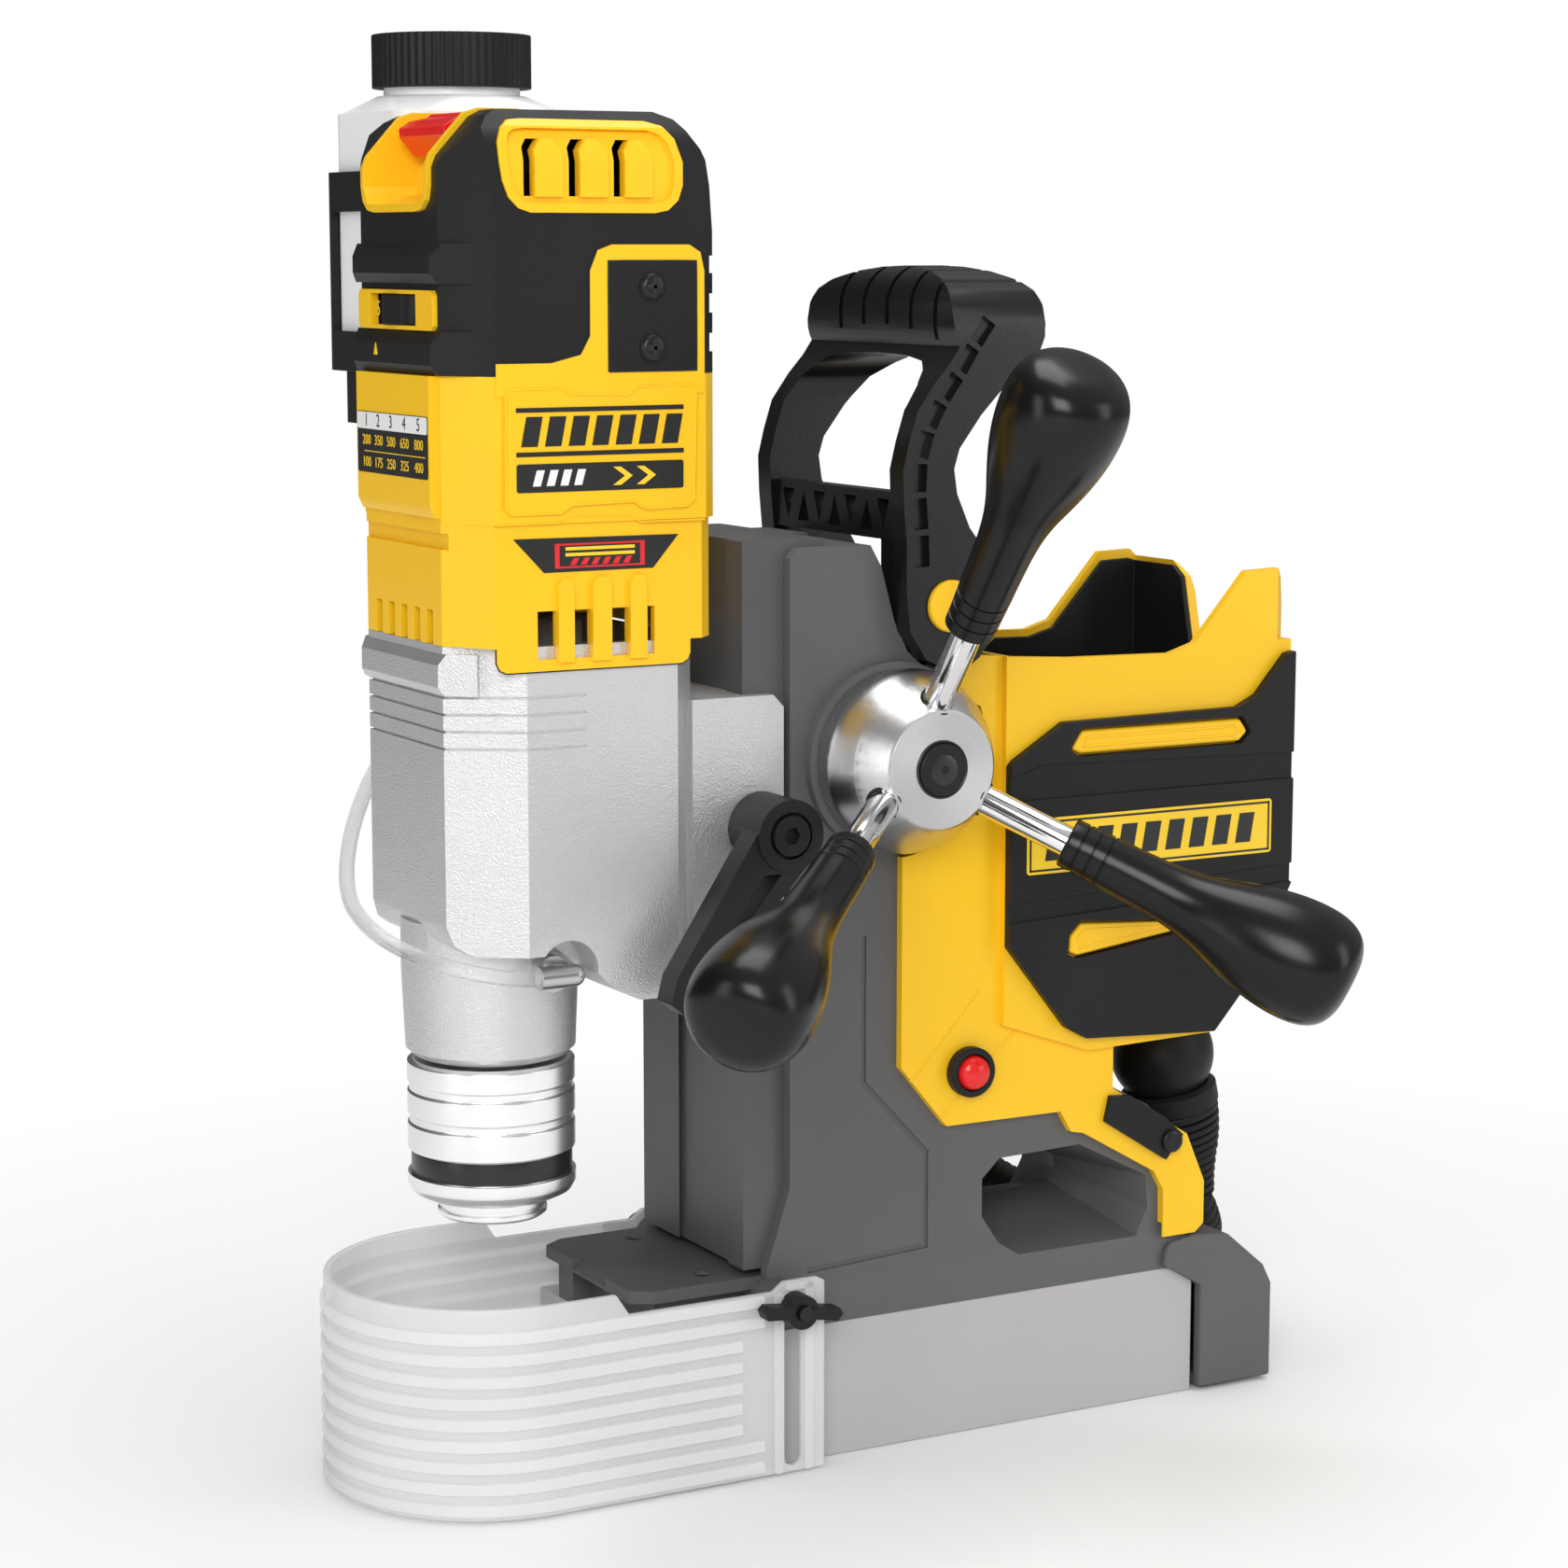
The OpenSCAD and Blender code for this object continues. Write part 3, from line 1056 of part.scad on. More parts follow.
magnet_housing();
magnet_coil();
magnet_potting();
base_casting();
shaft_bushings();
end_cap();
carry_handle();
handle_caps();
dock_shell_near();
dock_shell_far();
dock_liner();
battery_terminals();
side_pad_near();
side_pad_far();
control_board();
button_bezel();
rear_covers();
fixings();
cable_ball();
cable_bellows();
power_conduit();
feed_slide();
feed_rack();
slide_gland();
feed_shaft();
feed_pinion();
feed_hub();
feed_spokes();
feed_knobs();
hub_cap();
gearbox_housing();
bearing_plate();
head_bearings();
motor_housing();
motor_stator();
top_cover();
top_grilles();
paddle_cup();
motor_board();
side_cover();
head_screws();
bottle_bracket();
coolant_port();
coolant_tube();
motor_rotor();
cooling_fan();
idler_gear();
spindle();
spindle_gear();
chuck_body();
chuck_sleeve();
clamp_lever();
speed_dial();
power_paddle();
magnet_button();
coolant_bottle();
bottle_cap();
chip_guard();
wing_nut_near();
wing_nut_far();
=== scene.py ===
import math

import bmesh
import bpy
from mathutils import Matrix, Vector


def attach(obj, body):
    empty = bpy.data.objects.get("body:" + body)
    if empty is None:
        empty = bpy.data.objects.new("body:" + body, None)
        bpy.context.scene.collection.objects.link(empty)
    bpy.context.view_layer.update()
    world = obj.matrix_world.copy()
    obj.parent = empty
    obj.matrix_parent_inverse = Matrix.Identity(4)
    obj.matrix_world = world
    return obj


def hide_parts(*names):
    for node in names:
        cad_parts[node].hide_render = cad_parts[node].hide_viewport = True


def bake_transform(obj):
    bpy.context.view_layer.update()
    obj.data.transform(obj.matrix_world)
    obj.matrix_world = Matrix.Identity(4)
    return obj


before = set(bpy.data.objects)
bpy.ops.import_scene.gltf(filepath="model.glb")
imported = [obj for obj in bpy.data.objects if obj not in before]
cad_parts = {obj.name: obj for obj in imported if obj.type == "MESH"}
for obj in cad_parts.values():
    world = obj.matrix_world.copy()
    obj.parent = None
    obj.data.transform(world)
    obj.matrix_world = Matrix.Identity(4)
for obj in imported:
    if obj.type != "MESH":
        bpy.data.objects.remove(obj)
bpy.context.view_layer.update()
# one millimetre in Blender's metres
MM = 0.001
# spindle's axis along X, in mm; the head's pieces are placed from it
SPX = -141.0


# ------------------------------------------------------------------ camera and lamps
CAMERA_PLACE = (-0.6078, -1.0410, 0.3948)
CAMERA_TURN = -28.881
CAMERA_DOWN = 8.45
CAMERA_LENS = 83.17


def set_camera():
    """The view of the photograph: degrees round Z, degrees below level, and lens in mm."""
    cam_data = bpy.data.cameras.new("camera")
    cam_data.lens = CAMERA_LENS
    cam_data.sensor_width = 36.0
    cam = bpy.data.objects.new("camera", cam_data)
    bpy.context.scene.collection.objects.link(cam)
    cam.location = CAMERA_PLACE
    cam.rotation_euler = (math.radians(90 - CAMERA_DOWN), 0.0, math.radians(CAMERA_TURN))
    bpy.context.scene.camera = cam


def area_light(name, place, aim, size, power, size_y=None):
    """A square lamp, or a rectangle when size_y is given, aimed at a point."""
    data = bpy.data.lights.new(name, "AREA")
    data.energy = power
    data.size = size
    if size_y:
        data.shape = "RECTANGLE"
        data.size_y = size_y
    lamp = bpy.data.objects.new(name, data)
    bpy.context.scene.collection.objects.link(lamp)
    lamp.location = place
    lamp.rotation_euler = (Vector(aim) - Vector(place)).to_track_quat("-Z", "Y").to_euler()


set_camera()


# ------------------------------------------------------------------ materials
MATS = {}


def material(name, color, rough=0.5, metal=0.0, **more):
    """A Principled material: colour and roughness vary softly, with grain as bump."""
    mat = bpy.data.materials.new(name)
    mat.use_nodes = True
    tree = mat.node_tree
    bsdf = tree.nodes["Principled BSDF"]
    link = tree.links.new

    def node(kind, **values):
        made = tree.nodes.new(kind)
        for key, value in values.items():
            if key in made.inputs:
                made.inputs[key].default_value = value
            else:
                setattr(made, key, value)
        return made

    bsdf.inputs["Metallic"].default_value = metal
    for key, value in more.get("sockets", {}).items():
        bsdf.inputs[key].default_value = value
    place = node("ShaderNodeTexCoord")
    # colour: a slow blotch of slightly darker and lighter tone
    blotch = node("ShaderNodeTexNoise", Scale=more.get("blotch_scale", 14.0), Detail=3.0)
    link(place.outputs["Object"], blotch.inputs["Vector"])
    vary = more.get("vary", 0.06)
    ramp = node("ShaderNodeValToRGB")
    ramp.color_ramp.elements[0].position = 0.3
    ramp.color_ramp.elements[1].position = 0.7
    ramp.color_ramp.elements[0].color = [c * (1 - vary) for c in color] + [1]
    ramp.color_ramp.elements[1].color = [min(1, c * (1 + vary)) for c in color] + [1]
    link(blotch.outputs["Fac"], ramp.inputs["Fac"])
    shade = ramp.outputs["Color"]
    fleck = more.get("fleck")
    if fleck:
        # sparkle of blasted metal: fine bright and dark specks
        specks = node("ShaderNodeTexNoise", Scale=fleck[0], Detail=2.0)
        link(place.outputs["Object"], specks.inputs["Vector"])
        mix = node("ShaderNodeMixRGB", blend_type="OVERLAY")
        mix.inputs["Fac"].default_value = fleck[1]
        link(shade, mix.inputs["Color1"])
        link(specks.outputs["Fac"], mix.inputs["Color2"])
        shade = mix.outputs["Color"]
    link(shade, bsdf.inputs["Base Color"])
    # roughness: smudges
    smudge = node("ShaderNodeTexNoise", Scale=more.get("smudge_scale", 30.0), Detail=4.0)
    link(place.outputs["Object"], smudge.inputs["Vector"])
    spread = node("ShaderNodeMapRange")
    spread.inputs["To Min"].default_value = max(0.02, rough - more.get("rough_vary", 0.06))
    spread.inputs["To Max"].default_value = rough + more.get("rough_vary", 0.06)
    link(smudge.outputs["Fac"], spread.inputs["Value"])
    link(spread.outputs["Result"], bsdf.inputs["Roughness"])
    # turned metal: fine rings round the given axis of the piece
    axis = more.get("turned")
    if axis:
        centre = node("ShaderNodeVectorMath", operation="SUBTRACT")
        centre.inputs[1].default_value = more["centre"]
        link(place.outputs["Object"], centre.inputs[0])
        across = node("ShaderNodeVectorMath", operation="MULTIPLY")
        across.inputs[1].default_value = [1 - c for c in axis]
        link(centre.outputs["Vector"], across.inputs[0])
        radius = node("ShaderNodeVectorMath", operation="LENGTH")
        link(across.outputs["Vector"], radius.inputs[0])
        along = node("ShaderNodeVectorMath", operation="MULTIPLY")
        along.inputs[1].default_value = axis
        link(place.outputs["Object"], along.inputs[0])
        spread_out = node("ShaderNodeCombineXYZ")
        link(radius.outputs["Value"], spread_out.inputs["X"])
        total = node("ShaderNodeVectorMath", operation="ADD")
        link(spread_out.outputs["Vector"], total.inputs[0])
        link(along.outputs["Vector"], total.inputs[1])
        rings = node("ShaderNodeTexNoise", Scale=2600.0, Detail=3.0, Roughness=0.7)
        link(total.outputs["Vector"], rings.inputs["Vector"])
        cut = node("ShaderNodeBump", Strength=0.35, Distance=0.0001)
        link(rings.outputs["Fac"], cut.inputs["Height"])
        link(cut.outputs["Normal"], bsdf.inputs["Normal"])
        bsdf.inputs["Anisotropic"].default_value = 0.6
        tangent = node("ShaderNodeTangent")
        tangent.direction_type = "RADIAL"
        tangent.axis = "XYZ"[axis.index(1)]
        link(tangent.outputs["Tangent"], bsdf.inputs["Tangent"])
    # grain, as bump
    grain = more.get("grain", (900.0, 0.15, 0.0002))
    if grain:
        stretch = node("ShaderNodeMapping")
        stretch.inputs["Scale"].default_value = more.get("grain_stretch", (1, 1, 1))
        link(place.outputs["Object"], stretch.inputs["Vector"])
        noise = node("ShaderNodeTexNoise", Scale=grain[0], Detail=2.0, Roughness=0.6)
        link(stretch.outputs["Vector"], noise.inputs["Vector"])
        bump = node("ShaderNodeBump")
        bump.inputs["Strength"].default_value = grain[1]
        bump.inputs["Distance"].default_value = grain[2]
        link(noise.outputs["Fac"], bump.inputs["Height"])
        link(bump.outputs["Normal"], bsdf.inputs["Normal"])
    MATS[name] = mat
    return mat


SATIN = {"Specular IOR Level": 0.3}
DULL = {"Specular IOR Level": 0.22}
material("magnet_steel", (0.46, 0.445, 0.45), 0.5, 0.0, grain=(700, 0.05, 0.0001), vary=0.03,
         sockets=SATIN)
material("coil", (0.5, 0.2, 0.06), 0.4, 0.9)
material("potting", (0.02, 0.02, 0.02), 0.6)
material("casting", (0.112, 0.112, 0.114), 0.5, 0.0, grain=(1500, 0.35, 0.0002), vary=0.05,
         sockets=SATIN)
material("slide_grey", (0.100, 0.100, 0.103), 0.42, 0.0, grain=(1500, 0.25, 0.0002), vary=0.05,
         sockets=SATIN)
material("bronze", (0.6, 0.38, 0.16), 0.35, 1.0)
material("black_plastic", (0.0125, 0.0125, 0.013), 0.44, 0.0, grain=(1700, 0.4, 0.0002), vary=0.12,
         sockets=DULL)
material("handle_black", (0.006, 0.006, 0.0063), 0.27, 0.0, grain=(1300, 0.22, 0.0002), vary=0.1,
         sockets={"Specular IOR Level": 0.4})
material("yellow", (0.96, 0.562, 0.012), 0.34, 0.0, grain=(1600, 0.14, 0.0001), vary=0.02,
         sockets={"Specular IOR Level": 0.35})
material("terminals", (0.02, 0.02, 0.02), 0.4)
material("board", (0.02, 0.12, 0.05), 0.35)
# dark steel of screws and fixings, also used as painted shade in the chuck's fine groove
material("dark_steel", (0.03, 0.03, 0.032), 0.35, 0.8)
material("black_rubber", (0.011, 0.011, 0.011), 0.5, 0.0, grain=(1200, 0.2, 0.0002), sockets=DULL)
material("steel", (0.55, 0.55, 0.56), 0.3, 1.0, grain=(400, 0.1, 0.0001))
material("fan", (0.45, 0.42, 0.36), 0.4, 0.3)
material("brushed", (0.60, 0.60, 0.605), 0.27, 1.0, grain=None, turned=(0, 1, 0),
         centre=(-0.0165, 0, 0.231), rough_vary=0.05)
material("turned", (0.93, 0.93, 0.935), 0.25, 1.0, grain=None, turned=(0, 0, 1),
         centre=(-0.141, 0, 0), rough_vary=0.04)
material("chrome", (0.88, 0.88, 0.89), 0.06, 1.0, grain=None, rough_vary=0.02, vary=0.02)
material("knob_black", (0.005, 0.005, 0.0052), 0.25, 0.0, grain=(800, 0.16, 0.0001),
         sockets={"Specular IOR Level": 0.3})
material("silver_cast", (0.67, 0.67, 0.68), 0.42, 0.80, grain=(1500, 0.7, 0.0004), vary=0.03,
         fleck=(2600.0, 0.35), sockets={"Specular IOR Level": 0.6})
material("stator", (0.2, 0.2, 0.2), 0.5, 0.8)
material("clear_tube", (0.97, 0.98, 0.98), 0.03, 0.0, grain=None, vary=0.01, rough_vary=0.01,
         sockets={"Transmission Weight": 1.0, "IOR": 1.25, "Alpha": 0.45})
material("red", (0.80, 0.010, 0.010), 0.24, 0.0, grain=(1200, 0.08, 0.0001), vary=0.04)
material("bottle_white", (0.97, 0.97, 0.965), 0.32, 0.0, grain=(500, 0.06, 0.0002), vary=0.02,
         sockets={"Subsurface Weight": 0.15, "Subsurface Radius": (0.01, 0.01, 0.01)})
material("guard_clear", (0.88, 0.885, 0.89), 0.24, 0.0, grain=(300, 0.05, 0.0001), vary=0.02,
         sockets={"Transmission Weight": 0.12, "IOR": 1.35, "Alpha": 0.55})
# guard_rib is the guard's plastic made whiter: painted highlight of the raised ribs
material("guard_rib", (0.96, 0.965, 0.97), 0.22, 0.0, grain=(300, 0.05, 0.0001), vary=0.02,
         sockets={"Transmission Weight": 0.05, "IOR": 1.35, "Alpha": 0.5})
material("dark_band", (0.012, 0.012, 0.012), 0.3, 0.0, grain=(900, 0.1, 0.0001))
# black of print and part lines, also used as painted shade in the screws' cross recesses
material("label_and_shade_black", (0.010, 0.010, 0.010), 0.38, 0.0, grain=(900, 0.05, 0.0001))
material("label_white", (0.86, 0.86, 0.86), 0.42, 0.0, grain=(900, 0.05, 0.0001))
material("label_red", (0.72, 0.015, 0.02), 0.4, 0.0, grain=(900, 0.05, 0.0001))
material("label_yellow", (0.95, 0.62, 0.02), 0.4, 0.0, grain=(900, 0.05, 0.0001))


# ------------------------------------------------------------------ mesh helpers
def finish_mesh(obj, mat, body, bevel=0.0, segments=2, angle=30.0, smooth=35.0, weld=False):
    """Material, soft edges and shading for a piece; body is the CAD body that it rides on."""
    obj.data.materials.clear()
    obj.data.materials.append(MATS[mat])
    shade(obj, smooth)
    if weld:
        add = obj.modifiers.new("weld", "WELD")
        add.merge_threshold = 1e-6
        flat = obj.modifiers.new("flat", "DECIMATE")
        flat.decimate_type = "DISSOLVE"
        flat.angle_limit = math.radians(0.6)
    if bevel:
        add_bevel(obj, bevel, segments, angle)
        even = obj.modifiers.new("even", "WEIGHTED_NORMAL")
        even.keep_sharp = True
        even.weight = 60
    if body:
        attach(obj, body)
    return obj


def shade(obj, angle=35.0):
    """Smooth shading, broken at edges sharper than angle."""
    for face in obj.data.polygons:
        face.use_smooth = True
    obj.data.set_sharp_from_angle(angle=math.radians(angle))


def add_bevel(obj, width, segments=2, angle=30.0):
    """Rounded edges, width in mm, where faces meet at more than angle."""
    mod = obj.modifiers.new("bevel", "BEVEL")
    mod.width = width * MM
    mod.segments = segments
    mod.limit_method = "ANGLE"
    mod.angle_limit = math.radians(angle)
    mod.harden_normals = False
    mod.use_clamp_overlap = True
    return mod


def mesh_object(name, verts, faces):
    """A new object from points in mm."""
    mesh = bpy.data.meshes.new(name)
    mesh.from_pydata([Vector(v) * MM for v in verts], [], faces)
    mesh.validate()
    mesh.update()
    obj = bpy.data.objects.new(name, mesh)
    bpy.context.scene.collection.objects.link(obj)
    return obj


# ------------------------------------------------------------------ cords
TUBE_ROUTE = [(-115, 80, 326), (-115, 79, 300), (-120, 74, 276), (-132, 65, 256),
              (-147, 56, 238), (-163, 45, 222), (-176, 30, 206), (-184, 12, 192),
              (-184, -6, 184), (-177, -22, 178), (-164, -33, 173.4), (-150, -36.8, 170.4),
              (-141.2, -37, 169.5)]
CONDUIT_ROUTE = [(130.2, 2, 72), (133.2, 2, 59.5), (140.5, 5, 48.5), (148, 13, 39), (153, 26, 33),
                 (151, 41, 31), (140, 55, 32), (121, 61, 38), (102, 62, 47), (84, 62, 58),
                 (66, 62, 72), (46, 61.5, 90), (26, 60, 110), (8, 58, 132), (-8, 56, 151.5),
                 (-20, 54.9, 166), (-28, 54.6, 172.6), (-33, 54.5, 174.3), (-37, 54.5, 174.6)]


def spline(points, steps):
    """Points along a smooth curve through the given ones."""
    pts = [Vector(p) for p in points]
    last = len(pts) - 1
    out = []
    for i in range(last):
        a, b, c, d = pts[max(i - 1, 0)], pts[i], pts[i + 1], pts[min(i + 2, last)]
        for j in range(steps):
            t = j / steps
            out.append(0.5 * (2 * b + (c - a) * t + (2 * a - 5 * b + 4 * c - d) * t * t
                              + (3 * b - a - 3 * c + d) * t * t * t))
    out.append(pts[-1])
    return out


def length_of(path):
    """Length along the points of a path."""
    return sum((b - a).length for a, b in zip(path, path[1:]))


def resample(path, step):
    """The same path with points at an even spacing of about step."""
    total = length_of(path)
    count = max(2, round(total / step))
    out, i, done = [path[0]], 0, 0.0
    for k in range(1, count):
        want = total * k / count
        while done + (path[i + 1] - path[i]).length < want:
            done += (path[i + 1] - path[i]).length
            i += 1
        seg = path[i + 1] - path[i]
        out.append(path[i] + seg * ((want - done) / seg.length))
    out.append(path[-1])
    return out


def sweep(name, path, section, closed_ends=True):
    """A surface along path; section(i, n) gives (side, up) offsets round the path."""
    n = len(path)
    verts, faces = [], []
    side = None
    ring = 0
    for i, p in enumerate(path):
        along = (path[min(i + 1, n - 1)] - path[max(i - 1, 0)]).normalized()
        if side is None:
            ref = Vector((0, 0, 1)) if abs(along.z) < 0.9 else Vector((0, 1, 0))
            side = along.cross(ref).normalized()
        side = (side - along * side.dot(along)).normalized()
        up = along.cross(side)
        offsets = section(i, n)
        ring = len(offsets)
        for a, b in offsets:
            verts.append(p + side * a + up * b)
    for i in range(n - 1):
        for s in range(ring):
            a, b = i * ring + s, i * ring + (s + 1) % ring
            faces.append((a, b, b + ring, a + ring))
    if closed_ends:
        faces.append(tuple(range(ring - 1, -1, -1)))
        faces.append(tuple((n - 1) * ring + s for s in range(ring)))
    return mesh_object(name, verts, faces)


def circle(r, n):
    """n points round a circle of radius r."""
    return [(r * math.cos(2 * math.pi * k / n), r * math.sin(2 * math.pi * k / n)) for k in range(n)]


def make_tube():
    path = resample(spline(TUBE_ROUTE, 6), 3.0)
    obj = sweep("clear_coolant_tube", path, lambda i, n: circle(2.5, 20))
    finish_mesh(obj, "clear_tube", "head", smooth=60)
    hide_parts("coolant_tube")


def make_conduit():
    path = resample(spline(CONDUIT_ROUTE, 8), 1.0)

    def ribbed(i, n):
        return circle(7.5 if i % 4 < 2 else 6.5, 24)

    obj = sweep("ribbed_conduit", path, ribbed)
    finish_mesh(obj, "black_rubber", None, smooth=50)
    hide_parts("power_conduit")
    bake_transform(obj)


make_tube()
make_conduit()


# ------------------------------------------------------------------ CAD nodes that stay
CAD_LOOK = {
    # node: (material, bevel width in mm, bevel segments)
    "magnet_housing": ("magnet_steel", 0.6, 2), "magnet_coil": ("coil", 0, 0),
    "magnet_potting": ("potting", 0, 0), "base_casting": ("casting", 1.2, 3),
    "shaft_bushings": ("bronze", 0, 0), "end_cap": ("casting", 1.6, 3),
    "carry_handle": ("handle_black", 1.2, 3), "handle_caps": ("yellow", 0.8, 2),
    "dock_shell_near": ("yellow", 1.6, 3), "dock_shell_far": ("yellow", 1.6, 3),
    "dock_liner": ("black_plastic", 0.5, 2), "battery_terminals": ("terminals", 0.3, 1),
    "side_pad_near": ("black_plastic", 1.4, 3), "side_pad_far": ("black_plastic", 1.4, 3),
    "control_board": ("board", 0, 0), "button_bezel": ("black_plastic", 0.6, 2),
    "rear_covers": ("black_plastic", 0.8, 2), "fixings": ("dark_steel", 0.4, 2),
    "cable_ball": ("black_plastic", 0.5, 2), "cable_bellows": ("black_rubber", 0.4, 2),
    "feed_slide": ("slide_grey", 1.0, 2), "feed_rack": ("steel", 0, 0),
    "slide_gland": ("black_plastic", 0.8, 2), "feed_shaft": ("steel", 0.4, 2),
    "feed_pinion": ("steel", 0, 0), "feed_hub": ("brushed", 0.7, 3),
    "feed_spokes": ("chrome", 0, 0), "feed_knobs": ("knob_black", 0.2, 1),
    "hub_cap": ("black_plastic", 0.4, 2), "gearbox_housing": ("silver_cast", 1.2, 3),
    "bearing_plate": ("silver_cast", 0, 0), "head_bearings": ("steel", 0, 0),
    "motor_housing": ("yellow", 1.6, 3), "motor_stator": ("stator", 0, 0),
    "top_cover": ("black_plastic", 1.6, 3), "top_grilles": ("yellow", 0.8, 3),
    "paddle_cup": ("yellow", 0.6, 2), "motor_board": ("board", 0, 0),
    "side_cover": ("black_plastic", 0.6, 2), "head_screws": ("dark_steel", 0.3, 2),
    "bottle_bracket": ("black_plastic", 1.0, 2), "coolant_port": ("steel", 0.3, 2),
    "motor_rotor": ("steel", 0, 0), "cooling_fan": ("fan", 0, 0),
    "idler_gear": ("steel", 0, 0), "spindle": ("steel", 0, 0), "spindle_gear": ("steel", 0, 0),
    "chuck_body": ("turned", 0.4, 2), "chuck_sleeve": ("turned", 0.3, 2),
    "clamp_lever": ("black_plastic", 1.0, 3), "speed_dial": ("black_plastic", 0.3, 2),
    "power_paddle": ("red", 0.8, 3), "magnet_button": ("red", 0.4, 2),
    "coolant_bottle": ("bottle_white", 1.5, 3), "bottle_cap": ("black_plastic", 0.4, 2),
    "chip_guard": ("guard_clear", 0.6, 2), "wing_nut_near": ("black_plastic", 0.8, 3),
    "wing_nut_far": ("black_plastic", 0.8, 3),
}
REPLACED = set()


def dress_cad():
    for node, (mat, bevel, segments) in CAD_LOOK.items():
        if node not in REPLACED:
            finish_mesh(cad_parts[node], mat, None, bevel, segments, weld=True)


# ------------------------------------------------------------------ shaped pieces
def lathe(name, profile, mat, body, matrix=None, n=96, smooth=40.0):
    """A turned piece: profile is (radius, height) along the matrix's Z, all in mm."""
    matrix = matrix or Matrix()
    verts, faces = [], []
    for r, z in profile:
        for k in range(n):
            a = 2 * math.pi * k / n
            verts.append(matrix @ Vector((max(r, 1e-4) * math.cos(a), max(r, 1e-4) * math.sin(a), z)))
    rows = len(profile)
    for i in range(rows - 1):
        for k in range(n):
            j = (k + 1) % n
            faces.append((i * n + k, i * n + j, (i + 1) * n + j, (i + 1) * n + k))
    obj = mesh_object(name, verts, faces)
    return finish_mesh(obj, mat, body, smooth=smooth)


def rounded(profile, steps=4):
    """Extra points so that a profile turns smoothly through the given ones."""
    return [(p.x, p.z) for p in spline([(r, 0, z) for r, z in profile], steps)]


def prism(name, outline, low, high, face, mat, body, bevel=0.0, segments=2):
    """A plate: outline points (a, b), from low to high along the face's own axis.

    face "side" has a = X and b = Z, thick along Y; "front" has a = Y and b = Z, thick along X;
    "flat" has a = X and b = Y, thick along Z."""
    place = {"side": lambda a, b, c: (a, c, b), "front": lambda a, b, c: (c, a, b),
             "flat": lambda a, b, c: (a, b, c)}[face]
    n = len(outline)
    verts = [place(a, b, low) for a, b in outline] + [place(a, b, high) for a, b in outline]
    faces = [tuple(range(n)), tuple(range(2 * n - 1, n - 1, -1))]
    faces += [(i, i + n, (i + 1) % n + n, (i + 1) % n) for i in range(n)]
    obj = mesh_object(name, verts, faces)
    clean = bmesh.new()
    clean.from_mesh(obj.data)
    bmesh.ops.recalc_face_normals(clean, faces=clean.faces)
    clean.to_mesh(obj.data)
    clean.free()
    return finish_mesh(obj, mat, body, bevel, segments)


def box_outline(x0, z0, x1, z1, r=0.0, n=5):
    """Corner points of a rectangle, rounded when r is given."""
    if not r:
        return [(x0, z0), (x1, z0), (x1, z1), (x0, z1)]
    out = []
    for cx, cz, start in ((x1 - r, z0 + r, -90), (x1 - r, z1 - r, 0), (x0 + r, z1 - r, 90),
                          (x0 + r, z0 + r, 180)):
        for k in range(n + 1):
            a = math.radians(start + 90 * k / n)
            out.append((cx + r * math.cos(a), cz + r * math.sin(a)))
    return out


FACING = {
    "side": Matrix(((1, 0, 0), (0, 0, -1), (0, 1, 0))).to_4x4(),
    "front": Matrix(((0, 0, -1), (-1, 0, 0), (0, 1, 0))).to_4x4(),
}


def number(name, text, centre, size, facing, mat, body, wide=1.0):
    """Printed digits as a thin raised mesh, centred on a point and facing -Y or -X."""
    data = bpy.data.curves.new(name, "FONT")
    data.body = text
    data.size = size * MM
    data.align_x = "CENTER"
    data.align_y = "CENTER"
    data.extrude = 0.00006
    data.resolution_u = 3
    maker = bpy.data.objects.new(name + "_curve", data)
    bpy.context.scene.collection.objects.link(maker)
    bpy.context.view_layer.update()
    mesh = bpy.data.meshes.new_from_object(maker.evaluated_get(bpy.context.evaluated_depsgraph_get()))
    bpy.data.objects.remove(maker)
    mesh.transform(Matrix.Translation(Vector(centre) * MM) @ FACING[facing]
                   @ Matrix.Diagonal((wide, 1, 1, 1)))
    obj = bpy.data.objects.new(name, mesh)
    bpy.context.scene.collection.objects.link(obj)
    return finish_mesh(obj, mat, body, smooth=20)


# ------------------------------------------------------------------ feed handles
HUB = Vector((-16.5, 0, 231))
HUB_FACE_Y = -72.6
SPOKE_ROOT_Y = -53.4
SPOKE_TILT = 35
FIRST_SPOKE = 88


def spoke_matrix(k):
    """Place of spoke k: its own Z runs out from the hub's axis and leans towards the user."""
    turn = math.radians(FIRST_SPOKE + 120 * k)
    return (Matrix.Translation((HUB.x, SPOKE_ROOT_Y, HUB.z)) @ Matrix.Rotation(-turn, 4, "Y")
            @ Matrix.Rotation(math.radians(-SPOKE_TILT), 4, "Z")
            @ Matrix.Rotation(math.radians(90), 4, "Y"))


